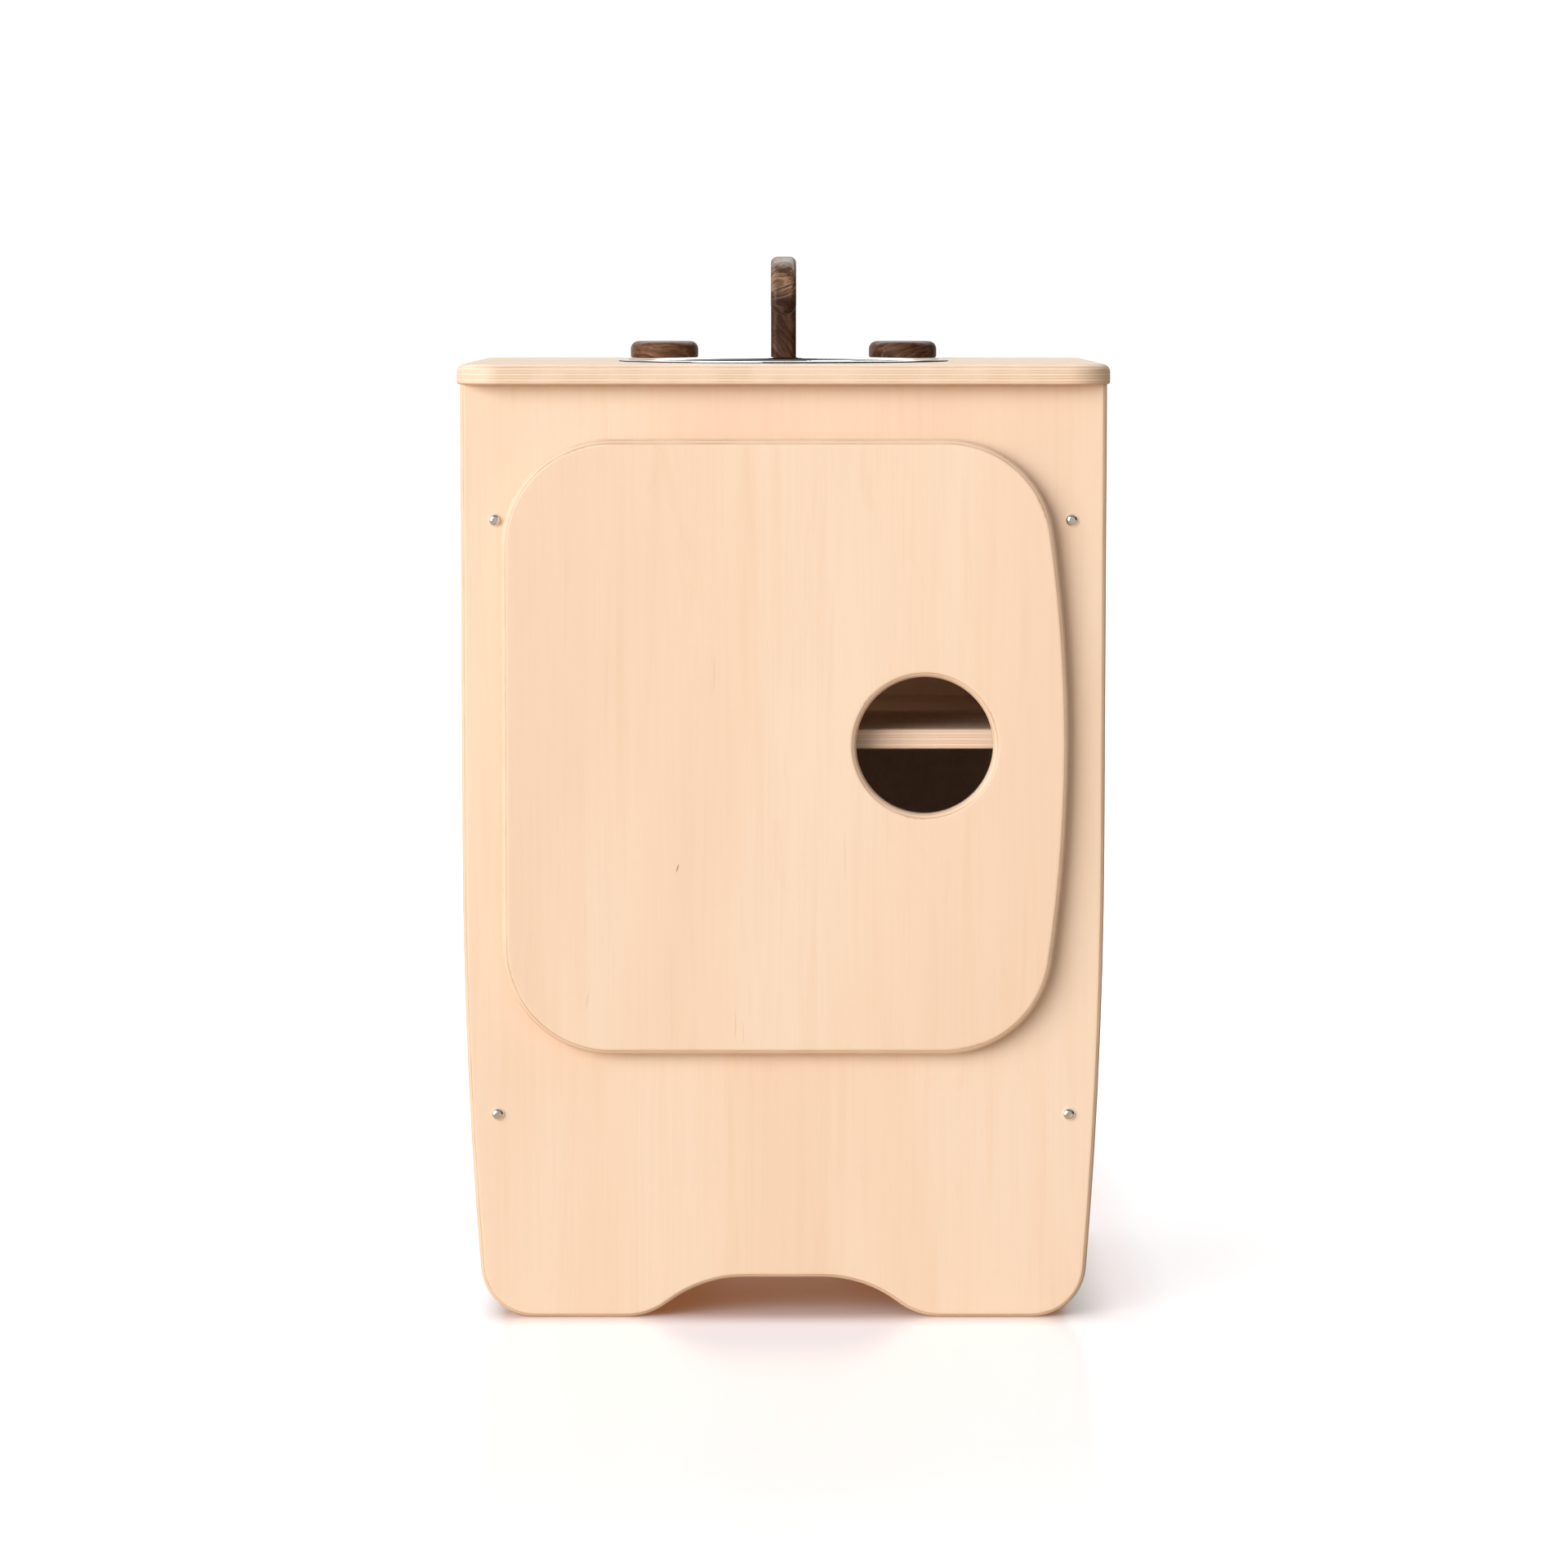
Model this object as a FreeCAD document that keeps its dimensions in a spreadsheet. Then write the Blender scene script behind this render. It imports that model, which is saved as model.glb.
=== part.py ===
"""Toy play sink: a plywood cabinet with a hinged door, a lift-out steel bowl,
a turning wooden tap and two turning wooden knobs.

Frame: X to the right, Y to the back, Z up, millimetres. The origin is on the floor,
in the middle of the counter's width and depth.
"""
import FreeCAD, Part
import math
import os
import re
import Sketcher

DRIVING_SIZES = {
    "ply": "12",
    "fit_gap": "0.05",
    "edge_round": "3.4",
    # counter
    "counter_wide": "387",
    "counter_deep": "310",
    "counter_corner": "25",
    "counter_under": "558.6",
    "counter_round": "5",
    "counter_low_round": "1.5",
    # front and back panels
    "panel_wide": "382.6",
    "front_overhang": "15",
    "back_overhang": "3",
    "taper_start": "284",
    "taper_radius": "3300",
    "foot_round": "32.5",
    "arch_half": "94.2",
    "arch_flat_half": "23.4",
    "arch_high": "24.1",
    "arch_upper_share": "0.645",
    "opening_half": "150",
    "opening_low": "174.6",
    "opening_top": "512.6",
    "opening_corner": "50",
    # side panels, boards and what fixes them
    "side_low": "30",
    "side_middle": "170.7",
    "shelf_under": "341.2",
    "shelf_set_back": "2",
    "board_round": "1.5",
    "pin_dia": "6",
    "pin_long": "16",
    "pin_inset": "40",
    "dowel_dia": "6",
    "dowel_long": "30",
    "dowel_in_side": "9",
    "cleat": "15",
    "cleat_long": "200",
    "screw_dia": "3.5",
    "screw_head": "7",
    "screw_long": "22",
    "screw_spare": "0.3",
    # panel bolts
    "bolt_low": "123.3",
    "bolt_top": "478.4",
    "bolt_dia": "4",
    "bolt_long": "38",
    "bolt_spare": "1",
    "bolt_head": "7.5",
    "bolt_head_high": "2.2",
    "bolt_chamfer": "0.6",
    "head_flat_share": "0.5",
    "head_side_share": "0.2",
    "socket_share": "0.44",
    "socket_deep_share": "0.7",
    "bolt_play": "0.25",
    "barrel_dia": "8",
    "barrel_back": "24",
    "barrel_long": "9.6",
    "barrel_sunk": "0.2",
    # door, hinges and catch
    "door_left": "167",
    "door_right": "169.1",
    "door_middle": "343.7",
    "door_high": "365.6",
    "door_corner": "64.5",
    "door_bow": "887",
    "door_gap": "1.5",
    "door_front_round": "4.2",
    "door_back_round": "5",
    "finger_x": "83.7",
    "finger_up": "1.8",
    "finger_radius": "40.6",
    "hinge_inset": "5",
    "hinge_spread": "80",
    "hinge_plate": "1.5",
    "hinge_plate_wide": "12",
    "hinge_plate_high": "26",
    "hinge_ear": "5",
    "hinge_ear_thick": "2",
    "hinge_pin_dia": "3",
    "hinge_pin_long": "22",
    "hinge_play": "0.05",
    "hinge_slot": "3",
    "hinge_slot_front": "1.4",
    "hinge_slot_side": "0.4",
    "hinge_plate_inset": "1.5",
    "hinge_screw_dia": "2.5",
    "hinge_screw_head": "4.6",
    "hinge_screw_long": "9",
    "catch_x": "159.5",
    "catch_dia": "9",
    "catch_thick": "2.5",
    "strike_thick": "1.5",
    # sink bowl
    "bowl_y": "-16",
    "bowl_radius": "100.9",
    "bowl_mouth": "92.5",
    "bowl_sheet": "1.2",
    "bowl_deep": "62",
    "bowl_wall_radius": "110",
    "bowl_low_radius": "42",
    "bowl_lip_round": "3.2",
    "bowl_hole_radius": "96",
    # tap and knobs
    "tap_y": "107",
    "tap_wide": "16",
    "tap_arm": "18",
    "tap_high": "64.3",
    "tap_reach": "38",
    "tap_drop": "8.5",
    "tap_round": "4",
    "tap_tip_round": "6.5",
    "knob_x": "75.7",
    "knob_dia": "43",
    "knob_thick": "10.5",
    "knob_round": "5",
    "turn_gap": "0.5",
    "insert_dia": "8",
    "insert_long": "8",
    "knob_spare": "0.5",
    "axle_dia": "5",
    "axle_head": "9",
    "axle_head_high": "2.8",
    "axle_play": "0.08",
    "head_gap": "0.2",
    "washer_dia": "16",
    "washer_thick": "1.2",
}

doc = FreeCAD.newDocument("toy_play_sink")
sheet = doc.addObject("Spreadsheet::Sheet", "sizes")
for row, (alias, text) in enumerate(DRIVING_SIZES.items(), start=1):
    sheet.set(f"A{row}", alias)
    sheet.set(f"B{row}", text)
    sheet.setAlias(f"B{row}", alias)
doc.recompute()

Vector = FreeCAD.Vector
UP = Vector(0, 0, 1)
SUB_PARTS = []


# ---------------------------------------------------------------- helpers

def cells(expression):
    """Put the sheet's name before every alias in an expression."""
    return re.sub(r"[a-z_]+", lambda word: f"sizes.{word[0]}" if word[0] in DRIVING_SIZES else word[0],
                  expression)


def size(expression):
    """The present value of an expression in the sheet's aliases."""
    return float(sheet.evalExpression(cells(expression)))


def place_item(item, place, turn=None):
    """Place an item by expressions; turn is (axis, degrees) for one that was made along +Z."""
    if turn is not None:
        item.Placement.Rotation = FreeCAD.Rotation(Vector(*turn[0]), turn[1])
    for axis, expression in zip("xyz", place):
        item.setExpression(f"Placement.Base.{axis}", cells(expression))
    return item


def sub_part(item, label, x="0", y="0", z="0", turn=None):
    """Label a finished sub-part and place it."""
    item.Label = label
    SUB_PARTS.append(place_item(item, (x, y, z), turn))


def new_sketch(body, name, role, offset="0"):
    """A sketch on one of the body's own origin planes, moved along its normal."""
    sketch = body.newObject("Sketcher::SketchObject", name)
    plane = next(item for item in body.Origin.OriginFeatures if item.Role == role)
    sketch.AttachmentSupport = [(plane, "")]
    sketch.MapMode = "FlatFace"
    sketch.setExpression("AttachmentOffset.Base.z", cells(offset))
    return sketch


def bind(sketch, kind, references, expression):
    """Add one driving dimension and bind it to the sheet."""
    index = sketch.addConstraint(Sketcher.Constraint(kind, *references, size(expression)))
    sketch.setExpression(f"Constraints[{index}]", cells(expression))


def arc_between(start, end, radius, side):
    """The short arc between two points; its centre is on the left or right of the run."""
    chord = end - start
    towards_centre = UP.cross(chord).normalize() * (1 if side == "left" else -1)
    depth = max(radius ** 2 - (chord.Length / 2) ** 2, 0) ** 0.5
    centre = (start + end) / 2 + towards_centre * depth
    angles = [math.atan2(point.y - centre.y, point.x - centre.x) for point in (start, end)]
    if side == "right":
        angles.reverse()
    if angles[1] < angles[0]:
        angles[1] += 2 * math.pi
    return Part.ArcOfCircle(Part.Circle(centre, UP, radius), angles[0], angles[1])


def outline(sketch, corners):
    """Draw a closed outline of (x, y, curve) corners.

    curve belongs to the run to the next corner: None for a straight run, or
    (radius, side) for an arc, whose centre is on the left or right of the run.
    """
    points = [Vector(size(x), size(y), 0) for x, y, curve in corners]
    first = sketch.GeometryCount
    ends = []
    for index, (x, y, curve) in enumerate(corners):
        start = points[index]
        end = points[(index + 1) % len(points)]
        if curve is None:
            sketch.addGeometry(Part.LineSegment(start, end))
            ends.append((1, 2))
            continue
        radius, side = curve
        sketch.addGeometry(arc_between(start, end, size(radius), side))
        ends.append((1, 2) if side == "left" else (2, 1))
    for index, (x, y, curve) in enumerate(corners):
        following = (index + 1) % len(corners)
        sketch.addConstraint(Sketcher.Constraint(
            "Coincident", first + index, ends[index][1], first + following, ends[following][0]))
        bind(sketch, "DistanceX", (-1, 1, first + index, ends[index][0]), x)
        bind(sketch, "DistanceY", (-1, 1, first + index, ends[index][0]), y)
        if curve is not None:
            bind_arc(sketch, first + index, points[following] - points[index], corners[index])


def bind_arc(sketch, index, chord, corner):
    """Bind an arc's radius, or for a half circle the place of its centre."""
    x, y, (radius, side) = corner
    if chord.Length < 2 * size(radius) - 1e-6:
        bind(sketch, "Radius", (index,), radius)
    elif abs(chord.x) > abs(chord.y):
        bind(sketch, "DistanceY", (-1, 1, index, 3), y)
    else:
        bind(sketch, "DistanceX", (-1, 1, index, 3), x)


def rectangle(sketch, left, low, right, top, corner=None):
    """A rectangle, with round corners where corner is given."""
    if corner is None:
        outline(sketch, [(left, low, None), (right, low, None), (right, top, None), (left, top, None)])
        return
    turn = (corner, "left")
    outline(sketch, [
        (f"{left} + {corner}", low, None),
        (f"{right} - {corner}", low, turn),
        (right, f"{low} + {corner}", None),
        (right, f"{top} - {corner}", turn),
        (f"{right} - {corner}", top, None),
        (f"{left} + {corner}", top, turn),
        (left, f"{top} - {corner}", None),
        (left, f"{low} + {corner}", turn),
    ])


def circle(sketch, x, y, radius):
    """A circle with its centre and radius bound to the sheet."""
    index = sketch.GeometryCount
    sketch.addGeometry(Part.Circle(Vector(size(x), size(y), 0), UP, size(radius)))
    bind(sketch, "DistanceX", (-1, 1, index, 3), x)
    bind(sketch, "DistanceY", (-1, 1, index, 3), y)
    bind(sketch, "Radius", (index,), radius)


def pad(body, name, sketch, length, reverse=False):
    """Pad a sketch along its normal, or against it."""
    feature = body.newObject("PartDesign::Pad", name)
    feature.Profile = sketch
    feature.setExpression("Length", cells(length))
    feature.Reversed = reverse
    doc.recompute()
    return feature


def pocket(body, name, sketch, length=None, reverse=False):
    """Cut a sketch into the body: to a depth, or through everything."""
    volume_before = body.Shape.Volume
    feature = body.newObject("PartDesign::Pocket", name)
    feature.Profile = sketch
    feature.Reversed = reverse
    if length is None:
        feature.Type = "ThroughAll"
        feature.Midplane = True
    else:
        feature.setExpression("Length", cells(length))
    doc.recompute()
    if body.Shape.Volume > volume_before - 0.1:
        raise SystemExit(f"{body.Name}: {name} cuts nothing")
    return feature


def revolve(body, name, sketch, angle=360):
    """Revolve a sketch about the body's own Z axis."""
    feature = body.newObject("PartDesign::Revolution", name)
    feature.Profile = sketch
    feature.ReferenceAxis = (sketch, ["V_Axis"])
    feature.Angle = angle
    doc.recompute()
    return feature


def fillet(body, name, base, radius, wanted):
    """Round the edges of base for which wanted(edge) is true."""
    names = [f"Edge{i}" for i, edge in enumerate(base.Shape.Edges, start=1) if wanted(edge)]
    if not names:
        raise SystemExit(f"{body.Name}: {name} finds no edge")
    feature = body.newObject("PartDesign::Fillet", name)
    feature.Base = (base, names)
    feature.setExpression("Radius", cells(radius))
    doc.recompute()
    return feature


def lies_at(edge, axis, value):
    """Whether a whole edge lies in the plane where the given coordinate has a value."""
    low, high = {
        "x": (edge.BoundBox.XMin, edge.BoundBox.XMax),
        "y": (edge.BoundBox.YMin, edge.BoundBox.YMax),
        "z": (edge.BoundBox.ZMin, edge.BoundBox.ZMax),
    }[axis]
    return abs(low - value) < 1e-3 and abs(high - value) < 1e-3


def group(name, items):
    """Several equal loose pieces kept as one sub-part of separate solids."""
    feature = doc.addObject("Part::Compound", name)
    feature.Links = items
    return feature


def primitive(kind, name, bound, place=("0", "0", "0"), turn=None):
    """A Part primitive with bound sizes; turn is (axis, degrees)."""
    item = doc.addObject(kind, name)
    for prop, expression in bound.items():
        item.setExpression(prop, cells(expression))
    return place_item(item, place, turn)


def cylinder(name, radius, height, place=("0", "0", "0"), turn=None):
    """A cylinder that starts at place and runs along +Z before it is turned."""
    return primitive("Part::Cylinder", name, {"Radius": radius, "Height": height}, place, turn)


def cone(name, low, high, height, place, turn=None):
    """A cone with its low radius at place."""
    bound = {"Radius1": low, "Radius2": high, "Height": height}
    return primitive("Part::Cone", name, bound, place, turn)


def box(name, length, width, height, place):
    """A box from its low corner."""
    return primitive("Part::Box", name, {"Length": length, "Width": width, "Height": height}, place)


def fuse(name, items):
    """Join shapes into one solid."""
    feature = doc.addObject("Part::MultiFuse", name)
    feature.Shapes = items
    feature.Refine = True
    return feature


def cut(name, base, tool):
    """Take one shape out of another."""
    feature = doc.addObject("Part::Cut", name)
    feature.Base = base
    feature.Tool = tool
    return feature


# directions for turned primitives: the piece then runs along this axis
TOWARDS_BACK = ((1, 0, 0), -90)
TOWARDS_FRONT = ((1, 0, 0), 90)
TOWARDS_RIGHT = ((0, 1, 0), 90)
TOWARDS_LEFT = ((0, 1, 0), -90)

# places that several sub-parts share
FRONT_FACE = "0 - counter_deep / 2 + front_overhang"
BACK_FACE = "counter_deep / 2 - back_overhang"
SIDE_DEPTH = "counter_deep - front_overhang - back_overhang - 2 * ply"
SIDE_INNER = "side_middle - ply / 2"
DOOR_BACK = f"{FRONT_FACE} - door_gap"
COUNTER_TOP = "counter_under + ply"
HINGE_X = "0 - door_left + hinge_inset"
HINGE_Y = f"{DOOR_BACK} - door_back_round"


# ---------------------------------------------------------------- front and back panels

def panel_corners():
    """Outer outline of a panel: straight to the taper, a long arc, round feet, an arch."""
    half = "panel_wide / 2"
    centre_x = f"( {half} - taper_radius )"
    foot_drop = "( taper_start - foot_round )"
    foot_x = f"( {centre_x} + sqrt(( taper_radius - foot_round ) ^ 2 - {foot_drop} ^ 2 ) )"
    reach = "( taper_radius / ( taper_radius - foot_round ) )"
    edge_x = f"( {centre_x} + ( {foot_x} - {centre_x} ) * {reach} )"
    edge_z = f"( taper_start - {foot_drop} * {reach} )"
    run = "( arch_half - arch_flat_half )"
    both_radii = f"( ( {run} ^ 2 + arch_high ^ 2 ) / ( 2 * arch_high ) )"
    upper = f"( {both_radii} * arch_upper_share )"
    lower = f"( {both_radii} * ( 1 - arch_upper_share ) )"
    bend_x = f"( arch_flat_half + {run} * arch_upper_share )"
    bend_z = "( arch_high * ( 1 - arch_upper_share ) )"
    return [
        (half, "counter_under", None),
        (f"0 - {half}", "counter_under", None),
        (f"0 - {half}", "taper_start", ("taper_radius", "left")),
        (f"0 - {edge_x}", edge_z, ("foot_round", "left")),
        (f"0 - {foot_x}", "0", None),
        ("0 - arch_half", "0", (lower, "left")),
        (f"0 - {bend_x}", bend_z, (upper, "right")),
        ("0 - arch_flat_half", "arch_high", None),
        ("arch_flat_half", "arch_high", (upper, "right")),
        (bend_x, bend_z, (lower, "left")),
        ("arch_half", "0", None),
        (foot_x, "0", ("foot_round", "left")),
        (edge_x, edge_z, ("taper_radius", "left")),
        (half, "taper_start", None),
    ]


def bolt_holes(sketch):
    """The four bolt holes of a panel."""
    for side in ("0 -", "0 +"):
        for level in ("bolt_low", "bolt_top"):
            circle(sketch, f"{side} side_middle", level, "bolt_dia / 2 + bolt_play")


def rounded_panel_edge(edge, own_front, own_back):
    """Long edges of a panel's faces, but not its square top edge or its bolt holes."""
    if not (lies_at(edge, "y", own_front) or lies_at(edge, "y", own_back)):
        return False
    if lies_at(edge, "z", size("counter_under")):
        return False
    return not (edge.Closed and edge.BoundBox.XLength < size("bolt_dia * 2"))


def make_front_panel():
    """Front panel with the cabinet's opening, two magnet and hinge mortises and the arch."""
    body = doc.addObject("PartDesign::Body", "front_panel")
    sketch = new_sketch(body, "front_outline", "XZ_Plane")
    outline(sketch, panel_corners())
    rectangle(sketch, "0 - opening_half", "opening_low", "opening_half", "opening_top",
              "opening_corner")
    bolt_holes(sketch)
    board = pad(body, "front_board", sketch, "ply")
    own_front = 0 - size("ply")
    fillet(body, "front_edges", board, "edge_round",
           lambda edge: rounded_panel_edge(edge, own_front, 0))
    mortise = new_sketch(body, "front_mortises", "XZ_Plane", "ply")
    for side in ("-", "+"):
        middle = f"door_middle {side} hinge_spread"
        rectangle(mortise, HINGE_PLATE_LEFT, f"{middle} - hinge_plate_high / 2",
                  f"{HINGE_PLATE_LEFT} + hinge_plate_wide", f"{middle} + hinge_plate_high / 2")
    pocket(body, "hinge_mortises", mortise, "hinge_plate")
    pilot = new_sketch(body, "front_screw_holes", "XZ_Plane", "ply")
    for x, z in hinge_screw_places():
        circle(pilot, x, z, "hinge_screw_dia / 2")
    pocket(body, "screw_holes", pilot, "hinge_screw_long")
    seat = new_sketch(body, "front_magnet_seat", "XZ_Plane", "ply")
    circle(seat, "catch_x", "door_middle", "catch_dia / 2")
    pocket(body, "magnet_seat", seat, "catch_thick")
    sub_part(body, "front_panel", y=f"{FRONT_FACE} + ply")


def make_back_panel():
    """Closed back panel with the same outline."""
    body = doc.addObject("PartDesign::Body", "back_panel")
    sketch = new_sketch(body, "back_outline", "XZ_Plane")
    outline(sketch, panel_corners())
    bolt_holes(sketch)
    board = pad(body, "back_board", sketch, "ply")
    own_front = 0 - size("ply")
    fillet(body, "back_edges", board, "edge_round",
           lambda edge: rounded_panel_edge(edge, own_front, 0))
    sub_part(body, "back_panel", y=BACK_FACE)


# ---------------------------------------------------------------- boards

def make_counter_top():
    """Counter with the sink cut-out, the holes for the tap and knobs, and round edges."""
    body = doc.addObject("PartDesign::Body", "counter_top")
    sketch = new_sketch(body, "counter_outline", "XY_Plane", "counter_under")
    rectangle(sketch, "0 - counter_wide / 2", "0 - counter_deep / 2",
              "counter_wide / 2", "counter_deep / 2", "counter_corner")
    circle(sketch, "0", "bowl_y", "bowl_hole_radius")
    for x in TURNING_X:
        circle(sketch, x, "tap_y", "axle_dia / 2 + axle_play")
    board = pad(body, "counter_board", sketch, "ply")
    width = size("counter_wide")
    rim = fillet(body, "counter_upper_edge", board, "counter_round",
                 lambda edge: lies_at(edge, "z", size(COUNTER_TOP)) and on_counter_outline(edge, width))
    fillet(body, "counter_lower_edge", rim, "counter_low_round",
           lambda edge: lies_at(edge, "z", size("counter_under")) and on_counter_outline(edge, width))
    pilots = new_sketch(body, "counter_screw_holes", "XY_Plane", "counter_under")
    for sign, y in cleat_screw_places("cleat_long / 5"):
        circle(pilots, f"{sign} ( {SIDE_INNER} - cleat / 2 )", y, "screw_dia / 2 + fit_gap")
    pocket(body, "cleat_screw_pilots", pilots, "screw_long - cleat + screw_spare", reverse=True)
    sub_part(body, "counter_top")


def on_counter_outline(edge, width):
    """Whether an edge belongs to the counter's outline, not to a hole in it."""
    edge_box = edge.BoundBox
    reach_x = max(abs(edge_box.XMin), abs(edge_box.XMax))
    reach_y = max(abs(edge_box.YMin), abs(edge_box.YMax))
    inset = size("counter_round") + 1
    return reach_x > width / 2 - inset or reach_y > size("counter_deep") / 2 - inset


def make_board(label, low, front, back, round_top):
    """A board between the side panels, with its front edge eased."""
    body = doc.addObject("PartDesign::Body", label)
    sketch = new_sketch(body, f"{label}_outline", "XY_Plane", low)
    rectangle(sketch, f"fit_gap - ( {SIDE_INNER} )", front, f"{SIDE_INNER} - fit_gap", back)
    board = pad(body, f"{label}_blank", sketch, "ply")
    fillet(body, f"{label}_front_edge", board, round_top, lambda edge: lies_at(edge, "y", size(front))
           and edge.BoundBox.XLength > 10)
    return body


def make_shelf():
    """Middle shelf, resting on four pins."""
    body = make_board("shelf", "shelf_under", f"{FRONT_FACE} + ply + shelf_set_back",
                      f"{BACK_FACE} - ply - fit_gap", "board_round")
    sub_part(body, "shelf")


def make_bottom_board():
    """Floor of the cabinet, held by dowels in its ends."""
    body = make_board("bottom_board", FLOOR_LOW, f"{FRONT_FACE} + ply + fit_gap",
                      f"{BACK_FACE} - ply - fit_gap", "board_round / 3")
    for sign in ("0 -", "0 +"):
        name = "left" if sign == "0 -" else "right"
        ends = new_sketch(body, f"bottom_{name}_dowel_holes", "YZ_Plane",
                          f"{sign} ( {SIDE_INNER} - fit_gap )")
        for y in PIN_Y:
            circle(ends, y, f"{FLOOR_LOW} + ply / 2", "dowel_dia / 2 + fit_gap")
        pocket(body, f"bottom_{name}_holes", ends, "dowel_long - dowel_in_side + fit_gap",
               reverse=sign == "0 -")
    sub_part(body, "bottom_board")


def make_side_panel(label, sign):
    """Side panel between front and back, drilled for bolts, nuts, pins, dowels and screws."""
    inner = f"{sign} ( {SIDE_INNER} )"
    low_x = f"{sign} side_middle - ply / 2"
    outwards = TOWARDS_LEFT if sign == "0 -" else TOWARDS_RIGHT
    blank = box(f"{label}_blank", "ply", SIDE_DEPTH, "counter_under - side_low",
                (low_x, f"{FRONT_FACE} + ply", "side_low"))
    drills = []
    for level in ("bolt_low", "bolt_top"):
        for end, start, turn in (("front", f"{FRONT_FACE} + ply", TOWARDS_BACK),
                                 ("back", f"{BACK_FACE} - ply", TOWARDS_FRONT)):
            drills.append(cylinder(f"{label}_{end}_{level}", "bolt_dia / 2 + fit_gap",
                                   "bolt_long - ply + bolt_spare",
                                   (f"{sign} side_middle", start, level), turn))
        for end, y in zip(("front", "back"), BARREL_Y):
            drills.append(cylinder(f"{label}_{end}_{level}_nut", "barrel_dia / 2 + fit_gap",
                                   "barrel_long + 2 * barrel_sunk",
                                   (inner, y, level), outwards))
    for end, y in zip(("front", "back"), PIN_Y):
        drills.append(cylinder(f"{label}_{end}_pin_hole", "pin_dia / 2 + fit_gap", "pin_long / 2",
                               (inner, y, PIN_LEVEL), outwards))
        drills.append(cylinder(f"{label}_{end}_dowel_hole", "dowel_dia / 2 + fit_gap", "dowel_in_side",
                               (inner, y, f"{FLOOR_LOW} + ply / 2"), outwards))
    for number, (side, y) in enumerate(cleat_screw_places("cleat_long * 2 / 5")):
        if side == sign:
            drills.append(cylinder(f"{label}_screw_hole_{number}", "screw_dia / 2 + fit_gap",
                                   "screw_long - cleat + screw_spare",
                                   (inner, y, "counter_under - cleat / 2"), outwards))
    sub_part(cut(label, blank, fuse(f"{label}_drills", drills)), label)


def make_cleat(label, sign):
    """Batten that holds the counter down on a side panel."""
    low_x = f"{sign} ( {SIDE_INNER} - cleat / 2 ) - cleat / 2"
    blank = box(f"{label}_blank", "cleat", "cleat_long", "cleat",
                (low_x, f"{CLEAT_Y} - cleat_long / 2", "counter_under - cleat"))
    holes = []
    for number, (side, y) in enumerate(cleat_screw_places("cleat_long / 5")):
        if side == sign:
            place = (f"{sign} ( {SIDE_INNER} - cleat / 2 )", y, "counter_under - cleat")
            holes.append(screw(f"{label}_up_hole_{number}", place, None, CLEAT_SCREW, "fit_gap"))
    outwards = TOWARDS_LEFT if sign == "0 -" else TOWARDS_RIGHT
    for number, (side, y) in enumerate(cleat_screw_places("cleat_long * 2 / 5")):
        if side == sign:
            place = (f"{sign} ( {SIDE_INNER} - cleat )", y, "counter_under - cleat / 2")
            holes.append(screw(f"{label}_side_hole_{number}", place, outwards, CLEAT_SCREW, "fit_gap"))
    sub_part(cut(label, blank, fuse(f"{label}_holes", holes)), label)


# ---------------------------------------------------------------- fixings

def cleat_screw_places(reach):
    """Side and depth of the screws at a distance each way from the cleats' middle."""
    return [(sign, f"{CLEAT_Y} {way} {reach}") for sign in ("0 -", "0 +") for way in ("-", "+")]


def hinge_screw_places():
    """Both screws of both hinge brackets."""
    x = f"{HINGE_PLATE_LEFT} + hinge_plate_wide * 2 / 3"
    return [(x, f"door_middle {side} hinge_spread {way} hinge_plate_high / 3")
            for side in ("-", "+") for way in ("-", "+")]


def screw(name, place, turn, kind, grow="0"):
    """A countersunk screw whose head starts at place; grow makes its hole instead."""
    dia, head, long = kind
    neck = f"( {head} - {dia} ) / 2"
    return fuse(name, [
        cone(f"{name}_head", f"{head} / 2 + {grow}", f"{dia} / 2 + {grow}", neck, place, turn),
        cylinder(f"{name}_shank", f"{dia} / 2 + {grow}", f"{long} + {grow}", place, turn),
    ])


def socket_bolt(name, dia, head, head_high, long):
    """A button-head bolt with a hexagon socket, made along +Z with its origin under the head."""
    solid = doc.addObject("PartDesign::Body", name)
    sketch = new_sketch(solid, f"{name}_profile", "XZ_Plane")
    outline(sketch, [
        ("0", f"0 - {head_high}", None),
        (f"{head} * head_flat_share / 2", f"0 - {head_high}", (f"{head} / 3", "left")),
        (f"{head} / 2", f"0 - {head_high} * head_side_share", None),
        (f"{head} / 2", "0", None),
        (f"{dia} / 2", "0", None),
        (f"{dia} / 2", f"{long} - bolt_chamfer", None),
        (f"{dia} / 2 - bolt_chamfer", long, None),
        ("0", long, None),
    ])
    revolve(solid, f"{name}_blank", sketch)
    hexagon = new_sketch(solid, f"{name}_hexagon", "XY_Plane", f"0 - {head_high}")
    across = f"{head} * socket_share / 2"
    outline(hexagon, [
        (f"{across} / cos(30 deg)", "0", None),
        (f"{across} * tan(30 deg)", across, None),
        (f"0 - {across} * tan(30 deg)", across, None),
        (f"0 - {across} / cos(30 deg)", "0", None),
        (f"0 - {across} * tan(30 deg)", f"0 - {across}", None),
        (f"{across} * tan(30 deg)", f"0 - {across}", None),
    ])
    pocket(solid, f"{name}_socket", hexagon, f"{head_high} * socket_deep_share", reverse=True)
    return solid


def make_panel_bolts(label, face, turn):
    """The four bolts of the front or back panel."""
    bolts = []
    for side, sign in (("left", "0 -"), ("right", "0 +")):
        for level in ("bolt_low", "bolt_top"):
            bolt = socket_bolt(f"{label}_{side}_{level}", "bolt_dia", "bolt_head", "bolt_head_high",
                               "bolt_long")
            bolts.append(place_item(bolt, (f"{sign} side_middle", face, level), turn))
    sub_part(group(label, bolts), label)


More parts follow.
